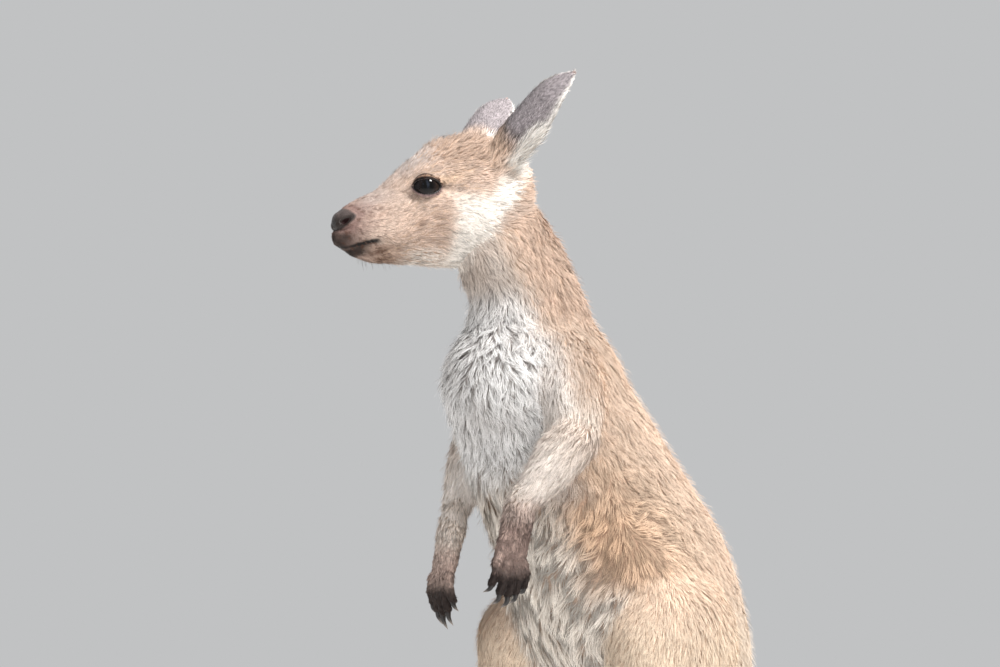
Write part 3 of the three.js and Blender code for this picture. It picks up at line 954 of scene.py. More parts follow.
def sculpt_head(mesh):
    p = points_of(mesh)
    n = normals_of(mesh)
    a, o, z = head_place(p)
    side = np.abs(o)
    move = np.zeros(len(p))
    for (fa, fo, fz), (ra, ro, rz), amount in HEAD_FORMS:
        move += amount * np.exp(-(((a - fa) / ra) ** 2) - ((side - fo) / ro) ** 2 - ((z - fz) / rz) ** 2)
    # the lower jaw sits in from the upper lip, and folds part nose and lip
    lips = mouth_height(a)
    move -= 0.5 * step(2.5, -1.5, z - lips) * step(44, 30, a)
    move += 0.6 * near(z, lips + 3.2, 2.6) * step(40, 30, a)
    move -= 1.5 * near(z, 565.8 + 0.25 * np.maximum(a, 0), 1.4) * step(10, 3, a)
    move += 0.5 * near(z, 559, 4) * step(12, 2, a)
    move -= 0.9 * near(o, 0, 1.0) * step(7, 2, a) * step(552, 555, z) * step(572, 568, z)
    p = p + n * move[:, None]
    for s in (1, -1):
        d, t = line_distance(p, NOSTRIL, s)
        wide = nostril_width(t)
        p = p - n * (NOSTRIL_DEPTH * (1 - 0.4 * t) * np.exp(-((d / wide) ** 4)))[:, None]
        rim = near(d, wide * 1.6, 1.0) * 0.75
        p = p + n * rim[:, None]
        d, t = line_distance(p, MOUTH, s)
        p = p - n * (MOUTH_DEPTH * (1 - 0.5 * t) * near(d, 0, 1.0))[:, None]
    fold = np.minimum(flat_distance(a, z, STREAK), flat_distance(a, z, TEAR))
    p = p - n * (0.5 * near(fold, 0, 1.3) * step(8, 12, side))[:, None]
    set_points(mesh, shape_lids(p))


def subdivide_near(mesh, chosen):
    """Splits the faces whose middle is chosen into four."""
    bm = bmesh.new()
    bm.from_mesh(mesh)
    middles = np.array([f.calc_center_median()[:] for f in bm.faces]) / MM + MIDDLE
    edges = {e for f, keep in zip(bm.faces, chosen(middles)) if keep for e in f.edges}
    bmesh.ops.subdivide_edges(bm, edges=list(edges), cuts=1, use_grid_fill=True)
    bm.to_mesh(mesh)
    bm.free()


def near_features(reach):
    def chosen(p):
        eyes = np.minimum(*(far_from(p, eye_frame(s)[0]) for s in (1, -1)))
        return (eyes < 12 + reach) | (both_lines(p, MOUTH) < reach * 0.6) | (both_lines(p, NOSTRIL) < reach)
    return chosen


def head_mesh():
    coat = lambda a: float(0.6 + 1.8 * step(5, 75, a))
    rows = [
        [*on_head(a, 0, level), half - coat(a), top - level - coat(a), level - under - coat(a)]
        for a, level, half, top, under in HEAD_SECTIONS
    ]
    skull = loft("head", rows, Z, side=OUTWARD, segments=120, steps=8, ends=(4, 6), power=2.1)
    mesh = joined_mesh("head", [skull])
    for reach in (8, 3.5):
        subdivide_near(mesh, near_features(reach))
    sculpt_head(mesh)
    smooth(mesh, 2, 0.4 * (1 - 0.9 * near_features(2.5)(points_of(mesh))))
    return mesh, skull


# ------------------------------------------------------------------------------------------------
# One skin

BODY_VOXEL, HAND_VOXEL, FOOT_VOXEL = 3.85, 1.05, 2.4
WRIST_FULLER = {"left": 2.3, "right": 1.2}  # given back to the wrists and ankles, which smoothing thins
ANKLE_FULLER = 1.2


def union(a, b):
    """One closed mesh from two that overlap."""
    first, second = object_of("first", a), object_of("second", b)
    modifier = first.modifiers.new("union", "BOOLEAN")
    modifier.operation = "UNION"
    modifier.solver = "MANIFOLD"
    modifier.object = second
    mesh = baked(first)
    bpy.data.objects.remove(second)
    return mesh


def join_body():
    """The trunk, the tail and the limbs down to the wrists and ankles as one mesh, and what goes on it."""
    trunk = loft("trunk", TRUNK, X, side=Y, segments=64, ends=(18, 26), depth=(6, 9, 5))
    neck = loft("neck", NECK, X, side=Y, segments=56, ends=(0, 12), depth=(5, 7, 5))
    tail = loft("tail", TAIL, Z, segments=40, steps=6, ends=(20, 6), depth=(3.5, 3.5, 2.0))
    core, hands, feet, knees, ankles = [trunk, neck, tail], [], [], [], []
    for side, s in SIDES:
        limb, foot = hind_leg(side, s)
        arm, hand = fore_leg(side, s)
        core += limb + arm
        shank = limb[1].rings
        knees.append(shank[6].mean(0))
        ankles.append(shank[-7].mean(0))
        feet.append(foot)
        hands.append(hand)
    body = remeshed("body", core, BODY_VOXEL, 4)
    fill_creases(body, 60)
    for knee in knees:
        smooth(body, 36, 0.5 * step(50, 22, far_from(points_of(body), knee)))
    x, y, z = points_of(body).T
    hip = step(30, 52, np.abs(y)) * step(232, 262, z + 0.35 * (60 - x)) * step(360, 330, z)
    fill_creases(body, 160, 0.004, hip)
    smooth(body, 20, 0.5 * hip)
    return body, core, hands, feet, ankles


def make_skin():
    """The skin's mesh, and the forms it was made from."""
    body, core, hands, feet, ankles = join_body()
    ears = [ear_form(side, s) for side, s in SIDES]
    bases = [ear_base(ear) for ear in ears]
    head, skull = head_mesh()
    skin = union(body, head)
    for base in bases:
        skin = union(skin, joined_mesh("base", [base]))
    a, _, z = head_place(points_of(skin))
    fill_creases(skin, 90, 0.01, step(104, 122, a) * step(545, 575, z))
    smooth(skin, 14, 0.5 * step(116, 128, a) * step(560, 580, z))
    for forms, voxel in [(f, HAND_VOXEL) for f in hands] + [(f, FOOT_VOXEL) for f in feet]:
        extra = remeshed("extra", forms, voxel, 2)
        fill_creases(extra, 2)
        skin = union(skin, extra)
    for ear in ears:
        skin = union(skin, joined_mesh("ear", [ear]))
    a, _, z = head_place(points_of(skin))
    fill_creases(skin, 30, 0.03, 1 - step(118, 100, a) * step(520, 540, z))
    for ear in ears:
        fill_creases(skin, 110, 0.004, step(36, 24, far_from(points_of(skin), ear.root)))
    for side, s in SIDES:  # the sleeve of the forearm runs on into the hand
        d = far_from(points_of(skin), np.array(POSES[side]["wrist"]) * [1, s, 1])
        smooth(skin, 40, 0.5 * step(21, 9, d))
        swell(skin, WRIST_FULLER[side] * step(27, 6, d))
    for ankle in ankles:
        d = far_from(points_of(skin), ankle)
        smooth(skin, 40, 0.5 * step(34, 14, d))
        swell(skin, ANKLE_FULLER * step(34, 8, d))
    keep_above(skin, 0)
    return skin, core + [skull] + bases + [f for group in hands + feet for f in group] + ears


# ------------------------------------------------------------------------------------------------
# A chart of the skin: which form each place lies on, and its place on the unwrap


def lay_out(forms, gap=4):
    """Lays each form's girth and length in rows on the smallest square that holds them."""
    order = sorted(range(len(forms)), key=lambda i: -forms[i].distance[-1])
    for side in range(500, 2000, 20):
        x = y = row = 0.0
        corners = {}
        for i in order:
            wide, long = forms[i].girth + gap, forms[i].distance[-1] + gap
            if x + wide > side:
                x, y, row = 0.0, y + row, 0.0
            corners[i] = (x, y)
            x += wide
            row = max(row, long)
        if y + row <= side:
            return corners, side
    return corners, side


def chart_columns(form, corner, index):
    """Share of the length, place on the unwrap, sweep and face of an ear, and directions."""
    count, around = form.count, form.around
    turn = unit(np.roll(form.rings, -1, 1) - np.roll(form.rings, 1, 1)).reshape(-1, 3)
    tangent = np.repeat(form.tangent, around, 0)
    share = (np.arange(around) + 0.5) / around
    u = corner[0] + np.tile(share, count) * form.girth
    v = corner[1] + np.repeat(form.distance, around)
    along = np.repeat(form.distance / form.distance[-1], around)
    sweep, inner = np.zeros((2, count * around))
    if form.folded:
        half = around // 2
        sweep = np.tile(np.concatenate([np.linspace(-1, 1, half), np.linspace(1, -1, half)]), count)
        inner = np.tile(np.repeat([0.0, 1.0], half), count)
    return np.column_stack([np.full(len(u), index), along, u, v, sweep, inner, tangent, turn])


class Chart:
    """For each point: the part it lies on, its place there and on the unwrap, and how the part runs."""

    def __init__(self, forms, points):
        corners, self.side = lay_out(forms)
        cloud = np.concatenate([form.rings.reshape(-1, 3) for form in forms])
        columns = np.concatenate([chart_columns(form, corners[i], i) for i, form in enumerate(forms)])
        tree = tree_of(cloud)
        row = columns[[tree.find(p)[1] for p in points]]
        self.part = np.array([form.part for form in forms])[row[:, 0].astype(int)]
        self.along, self.uv = row[:, 1], row[:, 2:4]
        self.sweep, self.inner = row[:, 4], row[:, 5]
        self.tangent, self.turn = row[:, 6:9], row[:, 9:12]


# ------------------------------------------------------------------------------------------------
# The lie and the colours of the coat

# Length at the start and the end of the part (mm), lift (degrees), width of a tuft, reach of a clump,
# curl, and layers of cover
HAIR = {
    "trunk": (11, 9.5, 16, 0.46, 2.1, 0.30, 2.7),
    "neck": (11, 9, 24, 0.48, 2.5, 0.5, 2.6),
    "head": (4, 4, 20, 0.42, 1.9, 0.3, 2.3),
    "tail": (10, 6, 17, 0.62, 2.0, 0.12, 1.9),
    "thigh": (10.5, 9, 17, 0.48, 2.0, 0.25, 2.5),
    "shank": (8, 4.5, 15, 0.50, 1.7, 0.12, 2.0),
    "foot": (4.4, 3.2, 12, 0.46, 1.3, 0.06, 1.7),
    "upper_arm": (11, 9.5, 22, 0.48, 1.9, 0.28, 2.5),
    "forearm": (9.5, 7, 20, 0.44, 1.7, 0.3, 2.5),
    "hand": (6.4, 2.2, 22, 0.50, 1.9, 0.3, 2.3),
    "ear": (3.6, 3.0, 15, 0.56, 0.9, 0.15, 2.0),
}
# Colours as on a screen: the body and its roots, with darker roots (cleft, shade) that show between the
# clumps as the underfur's colour and as painted shade, the head, and the ears and ends of the limbs
TONES = {
    name: linear(*tone)
    for name, tone in dict(
        back=(0.885, 0.79, 0.71), fawn=(0.765, 0.69, 0.63), sand=(0.905, 0.81, 0.72),
        rump=(0.97, 0.92, 0.85), ash=(0.95, 0.945, 0.94), smoke=(0.72, 0.69, 0.675),
        warm=(0.90, 0.745, 0.60), thigh=(0.935, 0.865, 0.775), shank=(0.87, 0.78, 0.69),
        tail=(0.76, 0.65, 0.55), tail_end=(0.38, 0.325, 0.29), neck=(0.76, 0.665, 0.60),
        throat=(0.79, 0.75, 0.72), cream=(0.955, 0.925, 0.885),
        back_root=(0.77, 0.66, 0.575), ash_root=(0.66, 0.635, 0.62), arm_root=(0.66, 0.59, 0.53),
        hand_root=(0.30, 0.235, 0.215), cleft=(0.56, 0.42, 0.32), shade=(0.66, 0.575, 0.51),
        tan=(0.80, 0.715, 0.66), muzzle=(0.84, 0.75, 0.69), bridge=(0.72, 0.66, 0.63),
        forehead=(0.72, 0.69, 0.68), crown=(0.63, 0.545, 0.49), cheek=(0.96, 0.935, 0.905),
        chin=(0.52, 0.40, 0.33), smudge=(0.60, 0.47, 0.39), mauve=(0.50, 0.385, 0.365),
        speck=(0.34, 0.225, 0.175), brow=(0.90, 0.78, 0.66), lid=(0.60, 0.485, 0.485),
        lip=(0.125, 0.10, 0.095), rim=(0.085, 0.07, 0.07), pad=(0.17, 0.14, 0.13),
        pad_painted_sheen=(0.36, 0.32, 0.31), nostril=(0.15, 0.025, 0.025),
        ear_back=(0.61, 0.58, 0.59), ear_base=(0.88, 0.77, 0.685), white=(0.97, 0.955, 0.935),
        pink=(0.78, 0.63, 0.59), buff=(0.955, 0.925, 0.89), frost=(0.85, 0.75, 0.70),
        hand=(0.50, 0.405, 0.375), finger=(0.13, 0.10, 0.095), foot=(0.80, 0.705, 0.61),
        toe=(0.25, 0.205, 0.185), sole=(0.22, 0.175, 0.16),
    ).items()
}
# Back from the nose: length of the hair there
FACE_HAIR = [(0, 1.5), (12, 1.9), (30, 3.0), (60, 4.6), (90, 6.6), (115, 8), (140, 9), (160, 9.5)]
# Height: how far back from the nose the bare pad goes, and where the hair beside it starts
NOSE_PAD = [(563.5, -9), (566, 1.0), (570, 5.8), (574, 9.8), (577, 11.8), (581, 7.0), (584, 2.0), (587, -9)]
PAD_BORDER = [(560, 2), (570, 10), (578, 14), (584, 10), (588, 4)]
SMUDGES = ((69, 572, 5, 8), (56, 570, 8, 6), (26, 580, 8, 9))  # back, height and the reaches of dark patches
BROWN_HAND = {"left": (54, 28), "right": (30, 6)}  # above the knuckles: where the brown starts and is full
EAR_LINE = (0.84, 0.545)  # up and back along an ear in side view
CHEEK_RISE = [(110.0, 582.0), (126.0, 600.0), (141.0, 622.0)]  # the white from the cheek up to the ear
WHORL = np.array([112.0, 0.0, 312.0])  # the hair of the flank and thigh parts here


class Coat:
    """For each vertex of the skin: how the hair over it lies and grows, and the colours there."""

    def __init__(self, mesh, forms):
        self.net = Net(mesh)
        self.points = points_of(mesh)
        self.normals = unit(self.net.soften(normals_of(mesh), 3))
        self.chart = Chart(forms, self.points)
        self.mark_places()
        self.mark_eyes()
        self.mark_nose()
        self.mark_ears([form for form in forms if form.part == "ear"])
        self.lay_hair()
        self.lay_flow()
        self.mark_bald()
        self.colour()

    def on(self, *parts):
        return np.isin(self.chart.part, parts).astype(float)

    def mark_places(self):
        n = unit(self.net.soften(self.normals, 6))
        self.a, self.o, self.z = head_place(self.points)  # of the whole skin, not of the head alone
        self.side = np.abs(self.o)
        a, z = self.a, self.z
        ahead, down = dot(n, X), -dot(n, Z)
        head, trunk, body = self.on("head"), self.on("trunk"), self.on("trunk", "neck")
        self.head = head
        self.rear = -ahead
        self.chest = body * step(0.12, 0.55, ahead) * step(352, 392, z) * step(540, 505, z)
        self.throat = body * step(0.1, 0.6, ahead) * step(500, 540, z)
        self.belly = trunk * step(-0.05, 0.5, ahead) * step(400, 350, z)
        self.flank = trunk * near(dot(self.normals, X), 0.12, 0.4) * near(z, 345, 60) * (1 - self.belly)
        self.jaw = head * step(-0.1, 0.55, down) * step(14, 34, a)
        self.cheek = head * near(a, 103, 20) * near(z, 572, 24) * step(24, 31, self.side)
        self.crown = head * step(60, 78, a) * step(612, 627, z)
        self.sole = self.on("foot") * step(0.62, 0.9, down) * step(8, 3, z)
        self.ground = step(2.0, 0.6, z) * self.on("foot")

    def mark_eyes(self):
        """Degrees outside the lids of the nearer eye, and the height and the way across in degrees."""
        self.lids = np.full(len(self.points), 90.0)
        self.lid_height, self.lid_across = np.zeros((2, len(self.points)))
        for _, s in SIDES:
            t, height, across, r, _, _ = lid_distance(self.points, s)
            inside = (self.o * s > 0) & (r < 30) & (np.abs(across) < 120) & (self.a < 110)
            t = np.where(inside, t, 90.0)
            nearer = t < self.lids
            self.lid_height = np.where(nearer, height, self.lid_height)
            self.lid_across = np.where(nearer, across, self.lid_across)
            self.lids = np.minimum(self.lids, t)

    def mark_nose(self):
        p, a, side, z = self.points, self.a, self.side, self.z
        self.mouth = both_lines(p, MOUTH)
        # how far each place is from the nostrils' hollows, which run inward from their openings
        self.hole = np.full(len(p), 9.0)
        for deep in (0.0, 1.6, 3.2, 4.8):
            inner = [(m[0] + 0.45 * deep, m[1] - 0.85 * deep, m[2] - 0.1 * deep) for m in NOSTRIL]
            for s in (1, -1):
                d, t = line_distance(p, inner, s)
                self.hole = np.minimum(self.hole, d - (0.75 + 0.1 * deep) * nostril_width(t))
        pad_back = np.interp(z, *zip(*NOSE_PAD))
        self.pad = self.head * step(1.8, -1.8, a - pad_back + 0.8 * noise(p, 2.5, 9)) * step(30, 20, side)
        front_fold = step(7, 2, a) * step(4.5, 1.5, side) * step(568, 564, z) * step(550, 554, z)
        self.nose = np.maximum(self.pad, self.head * front_fold * step(1.8, 0.6, side))

    def mark_ears(self, ears):
        chart, ear = self.chart, self.on("ear")
        self.ear = ear
        self.ear_in = ear * chart.inner
        self.ear_edge = ear * step(0.72, 0.92, np.abs(chart.sweep))
        self.round_ear = np.zeros(len(ear))  # where the head's fur rises round the root of an ear
        self.behind_ear = np.zeros(len(ear))  # where the fur is long and white
        for form in ears:
            self.round_ear = np.maximum(self.round_ear, step(26, 15, far_from(self.points, form.root)))
            ear_a, ear_o, ear_z = head_place(form.root[None])
            back, rise = self.a - ear_a, self.z - ear_z
            across = back * EAR_LINE[0] - rise * EAR_LINE[1]
            up = back * EAR_LINE[1] + rise * EAR_LINE[0] + noise(self.points, 5.5, 3)
            mine = (
                step(-4.2, -1.8, across + 0.07 * up - 3 * step(20, 28, up)) * step(-9, -4, up)
                * step(34, 26, up) * step(16, 11, across) * (self.o * ear_o > 0)
            )
            mine = mine * np.maximum(self.head, ear) * step(8, 14, self.side)
            self.behind_ear = np.maximum(self.behind_ear, mine)

    def lay_hair(self):
        chart, head, a = self.chart, self.head, self.a
        values = np.zeros((len(a), 6))
        for part, (first, last, *rest) in HAIR.items():
            on = chart.part == part
            values[on, 0] = first + (last - first) * chart.along[on]
            values[on, 1:] = rest
        hair = dict(zip(("length", "lift", "width", "clump", "curl", "cover"), values.T.copy()))

        def grown(mask, **wanted):
            for name, value in wanted.items():
                hair[name] = mix(hair[name], value, mask)

        grown(head, length=np.interp(a, *zip(*FACE_HAIR)))
        grown(self.cheek, length=8.5)
        grown(head * step(50, 15, a), lift=12)
        grown(self.crown, length=9.5, lift=44, curl=0.5)
        grown(self.cheek, lift=23, curl=0.35)
        grown(self.jaw * step(20, 50, a), length=6.0, lift=21)
        behind = head * step(108, 140, a)
        grown(behind, width=0.48)
        grown(np.maximum(behind, self.cheek), clump=2.4)
        grown(head * step(45, 15, a), clump=1.1)
        grown(head * step(26, 8, self.lids), length=1.7, lift=12)
        grown(head * step(5, 2.5, self.mouth) * step(34, 27, a), length=1.3)
        grown(self.chest, length=15.5, lift=35, curl=0.9, clump=2.5)
        grown(self.belly, length=17.5, lift=24, curl=0.55, clump=3.6)
        grown(self.throat, length=13, lift=36)
        grown(self.flank, length=12, lift=31, curl=0.95, clump=3.4)
        grown(self.on("forearm") * step(0.9, 0.5, chart.along), length=9.5, lift=22)
        grown(self.on("neck") * step(0.2, 0.7, self.rear), lift=31)
        grown(head * self.round_ear * step(588, 604, self.z), length=10.5, lift=36, curl=0.6, width=0.42)
        root_of_ear = self.ear * step(0.42, 0.12, chart.along)
        grown(root_of_ear * (1 - self.ear_in), length=8.0)
        grown(root_of_ear * np.maximum(self.ear_in, self.ear_edge), length=11)
        grown(root_of_ear, lift=26)
        grown(self.ear_edge * (1 - root_of_ear) * 0.6, length=5.0)
        grown(self.ear_edge, lift=20)
        grown(self.behind_ear * (1 - self.ear_in), length=12, lift=38)
        hair["cover"] *= 1 - 0.62 * self.ear_in * (1 - root_of_ear) * (1 - self.ear_edge)
        grown(self.on("trunk") * step(0.2, 0.8, self.rear), lift=20)
        finger_tops = np.where(self.points[:, 1] > 0, 312, 300)
        grown(step(20, -14, self.z - finger_tops) * self.on("hand"), length=2.1, lift=15)
        self.hair = self.net.soften(np.column_stack(list(hair.values())), 9)

    def lay_flow(self):
        """The way the hair points along the skin."""
        p, n = self.points, self.normals
        flow = self.chart.tangent.copy()
        flow[self.chart.part == "neck"] *= -1
        out = np.sign(p[:, 1])[:, None] * Y
        flow = flow + self.chest[:, None] * (0.25 * out * np.abs(dot(n, Y))[:, None] - 0.2 * Z)
        flow = flow + self.belly[:, None] * (1.0 * X - 0.6 * Z)
        flow = flow - 0.45 * (self.cheek + 0.4 * self.jaw)[:, None] * Z
        from_whorl = (p - WHORL) * [1, 0, 1]
        far = np.linalg.norm(from_whorl, axis=1)
        on_flank = 0.5 * self.on("trunk") * step(75, 30, far) * step(30, 60, np.abs(p[:, 1]))
        share = (0.55 * self.on("thigh") + on_flank)[:, None] * step(3, 20, far)[:, None]
        flow = flow * (1 - share) + share * (unit(from_whorl) - 0.3 * Z)
        under_eye = self.head * near(self.lids, 18, 16) * step(4, -10, self.lid_height)
        flow = self.net.soften(flow - 0.4 * under_eye[:, None] * Z, 10)
        stir = 0.16 + 0.30 * self.flank + 0.16 * self.on("neck")
        flow = flow + stir[:, None] * np.column_stack([noise(p, 22, s) for s in (21, 22, 23)])
        flow = flow - n * dot(flow, n)[:, None]
        self.flow = unit(self.net.soften(unit(flow), 2))

    def mark_bald(self):
        head = self.head
        lips = head * step(2.3, 1.3, self.mouth) * step(31, 26, self.a)
        eyes = head * step(5.0, 2.6, self.lids)
        nostrils = head * step(2.0, 0.6, self.hole)
        bald = np.maximum.reduce([self.nose, lips, eyes, nostrils, self.sole, self.ground])
        self.bald = np.clip(bald, 0, 1)

    def colour(self):
        """The tones of the tips and the roots of the hair, and of the skin below it."""
        p = self.points
        self.coarse, self.mid, self.fine = noise(p, 46, 1), noise(p, 17, 2), noise(p, 5.5, 3)
        self.ahead = dot(self.normals, X)
        self.tip = np.tile(TONES["fawn"], (len(p), 1))
        self.root = np.tile(TONES["back_root"], (len(p), 1))
        # the dark corner of the eye and the ring round the lids
        corner = near(self.lid_across, -82, 17) * near(self.lid_height, 2, 5)
        self.eye_corner = self.head * corner * step(34, 4, self.lids)
        self.eye_ring = self.head * step(10, 4, self.lids)
        self.colour_body()
        self.colour_limbs()
        self.colour_head()
        self.colour_muzzle()
        self.colour_round_eyes()
        self.colour_ears()
        self.finish_hair()
        self.colour_skin()

    def lay(self, tone, mask, under=None):
        """A tone over the tips, and one over the roots where it is given."""
        self.tip = mix(self.tip, TONES[tone], mask)
        if under is not None:
            self.root = mix(self.root, TONES[under], mask)

    def colour_body(self):
        lay, z, ahead, rear, coarse, mid = self.lay, self.z, self.ahead, self.rear, self.coarse, self.mid
        trunk, thigh = self.on("trunk"), self.on("thigh")
        lay("back", step(0.05, 0.75, rear + 0.15 * coarse))
        lay("sand", trunk * step(460, 330, z) * step(0.6, -0.2, np.abs(rear - 0.1)) * 0.8)
        lay("rump", trunk * step(330, 235, z) * step(0.1, 0.6, rear) * 0.75)
        lay("thigh", thigh * step(318, 250, z + 10 * coarse) * 0.8)
        lay("sand", thigh * step(250, 318, z + 10 * coarse) * 0.8)
        # the cleft root shows between the warm flank's woolly clumps: the underfur's own colour, and painted
        # shade in the clefts
        lay("warm", trunk * near(ahead, 0.3, 0.34) * near(z, 340, 66) * 0.64, "cleft")
        lay("ash", self.on("upper_arm") * step(0.1, 0.7, ahead) * 0.6, "ash_root")
        lay("ash", np.clip(self.chest * 1.25, 0, 1), "ash_root")
        lay("smoke", self.chest * step(0.05, 0.75, mid + 0.4 * coarse) * 0.42)
        turned_in = 0.12 + 0.33 * step(258, 300, z)  # the pale belly is narrower higher up
        front = trunk * step(turned_in, turned_in + 0.34, ahead + 0.12 * mid) * step(400, 350, z)
        lay("cream", front, "shade")
        lay("throat", self.throat * (0.55 + 0.35 * step(-0.3, 0.5, mid)), "ash_root")
        lay("neck", self.on("neck") * step(0.35, 0.0, ahead) * step(1.0, 0.6, rear))

    def colour_limbs(self):
        lay, p, z, along = self.lay, self.points, self.z, self.chart.along
        mid, fine, left = self.mid, self.fine, self.points[:, 1] > 0
        forearm, shank, foot, tail = (self.on(part) for part in ("forearm", "shank", "foot", "tail"))
        lay("buff", forearm * (0.55 + 0.45 * step(0.0, 0.5, along)), "arm_root")
        lay("buff", self.on("upper_arm") * step(0.55, 1.0, along) * 0.6, "arm_root")
        low, brown = np.zeros((2, len(p)))
        for name, s in SIDES:
            height = POSES[name]["knuckles"][2]
            top, bottom = BROWN_HAND[name]
            mine = p[:, 1] * s > 0
            low = np.where(mine, step(height + 6, height - 14, z + 3 * mid + 2 * fine), low)
            brown = np.where(mine, step(height + top, height + bottom, z + 5 * mid + 2 * fine), brown)
        limb = self.on("hand", "forearm")
        lay("buff", self.on("hand"), "arm_root")
        # painted light: the right forearm, the far one, is painted fully white as if sunlit, and the left
        # only half white, fading towards the wrist
        white = np.where(left, 0.5 * step(1.0, 0.75, along), 1.0)
        lay("white", forearm * step(0.1, 0.6, along) * white, "buff")
        lay("frost", limb * near(brown, 0.4, 0.4) * 0.7)
        lay("hand", limb * brown * 0.92, "hand_root")
        # painted light: the right hand, the far one, gets more frost, a lighter copy of the left that stands
        # in for the light it lacks
        frost = step(0.0, 0.5, noise(p, 3.2, 14)) * 0.45 + np.where(left, 0.0, 0.6)
        lay("frost", limb * brown * np.clip(frost, 0, 0.8))
        lay("finger", limb * low * 0.95, "finger")
        lay("thigh", shank * 0.8)
        lay("shank", shank * step(0.05, 0.5, along))
        lay("foot", foot, "back_root")
        lay("foot", shank * step(0.66, 1.0, along + 0.05 * mid))
        lay("toe", foot * step(66, 132, p[:, 0] + 10 * mid), "toe")
        lay("tail", tail * step(0.1, 0.5, along))
        lay("tail_end", tail * step(0.62, 0.97, along), "toe")

    def colour_head(self):
        lay, head, a, side, z = self.lay, self.head, self.a, self.side, self.z
        mid, fine = self.mid, self.fine
        lay("tan", head)
        lay("muzzle", head * step(60, 30, a))
        top = step(0.15, 0.6, dot(self.normals, Z))
        lay("bridge", head * top * step(62, 40, a) * step(6, 20, a) * 0.85)
        lay("forehead", head * step(600, 618, z + 2 * mid) * step(34, 52, a) * step(26, 12, side) * 0.9)
        lay("crown", head * step(62, 76, a + 4 * mid) * step(606, 624, z + 3 * mid) * 0.9)
        lay("neck", head * step(108, 124, a + 3 * mid))
        patch = step(78, 88, a + 3 * mid) * step(120, 110, a + 2 * mid) * step(598, 586, z + 3 * mid)
        lay("cheek", head * patch, "buff")
        from_line = flat_distance(a, z, CHEEK_RISE) + 2 * fine
        lay("cheek", head * step(12, 5, from_line) * step(14, 22, side), "buff")
        lay("cheek", head * step(558, 546, z + 2 * mid) * step(38, 58, a) * 0.85)
        streaky = step(-0.35, 0.45, noise(self.points, 3.0, 12))
        for back, height, reach, rise in SMUDGES:
            smudge = near(a, back, reach) * near(z, height, rise) * step(8, 14, side)
            lay("smudge", head * smudge * streaky * 0.55)
        # darker along both folds before the eye: along the streak it is the skin's own brown, along the fold
        # down from the brow painted shade in the crease
        for streak, wide in ((STREAK, 1.3), (TEAR, 0.9)):
            lay("speck", head * near(flat_distance(a, z, streak), 0, wide) * step(8, 12, side) * 0.7)

    def colour_muzzle(self):
        lay, head, a, z, mid, fine = self.lay, self.head, self.a, self.z, self.mid, self.fine
        front = head * step(30, 5, a) * step(580, 562, z) * 0.7
        lay("mauve", front + head * near(a, 13, 8) * near(z, 582, 6) * 0.3)
        lay("throat", self.jaw * step(104, 124, a) * 0.8, "ash_root")
        lay("brow", head * near(self.lids, 17, 13) * step(2, 16, self.lid_height) * 0.85)
        lay("tan", head * near(a, 44, 9) * near(z, 597, 7) * 0.7)
        chin = head * near(a, 30, 13) * step(556, 553, z) * step(538, 543, z)
        lay("chin", chin * 0.6)
        lay("speck", chin * step(-0.1, 0.35, noise(self.points, 2.3, 8)) * 0.9)
        lip = head * np.maximum(
            step(5.0, 0.8, self.mouth) * step(34, 14, a) * step(0.9, 0.0, (z - 564) / 6),
            step(17, 3, a) * step(569, 561, z + 0.2 * a),
        )
        lay("lip", lip * (0.74 + 0.24 * fine), "lip")
        lay("rim", head * step(3.0, 1.5, self.mouth) * step(33, 26, a), "rim")
        below = z - mouth_height(a)
        lay("lip", head * step(26, 15, a + fine) * step(0.5, -1.5, below) * step(-9, -6, below) * 0.9, "lip")
        beside = a - np.interp(z, *zip(*PAD_BORDER))
        bare = np.maximum(step(9, 0, beside) * 0.75, step(26, 4, beside + 2 * mid) * 0.38)
        lay("mauve", head * bare * step(561, 567, z))

    def colour_round_eyes(self):
        lay, head, lids, height = self.lay, self.head, self.lids, self.lid_height
        lay("lid", head * step(20, 6, lids) * step(8, -8, height) * 0.5)
        lay("lid", self.eye_ring * (0.15 + 0.65 * step(5, -9, height)), "lid")
        # painted shade under the brow, over the lid's own darker skin: the plate of the upper lid is darkened
        lay("smudge", head * step(20, 13, lids) * step(0, 9, height) * 0.6)
        lay("rim", self.eye_corner * 0.85, "rim")
        lay("rim", head * step(4.6, 2.2, lids - 3.0 * step(4, 20, height)), "rim")
        # more painted shade on the plate of the upper lid, over its own darker skin
        lay("speck", head * step(14, 8, lids) * step(2, 12, height) * 0.55)

    def colour_ears(self):
        lay, head, ear, inner, edge = self.lay, self.head, self.ear, self.ear_in, self.ear_edge
        along = self.chart.along
        lay("ear_back", ear, "toe")
        lay("ear_base", ear * step(0.40, 0.12, along + 0.05 * self.mid) * (1 - inner), "back_root")
        lay("pink", inner, "pink")
        towards_edge = step(0.55, 0.8, np.abs(self.chart.sweep)) * 0.8
        lay("white", inner * np.maximum(step(0.42, 0.16, along), towards_edge), "buff")
        lay("white", edge * step(0.05, 0.2, along) * 0.8, "buff")
        base = head * step(0.3, 1.0, self.round_ear) * step(592, 608, self.z)
        lay("ear_base", base * 0.6, "back_root")
        lay("white", self.behind_ear, "buff")

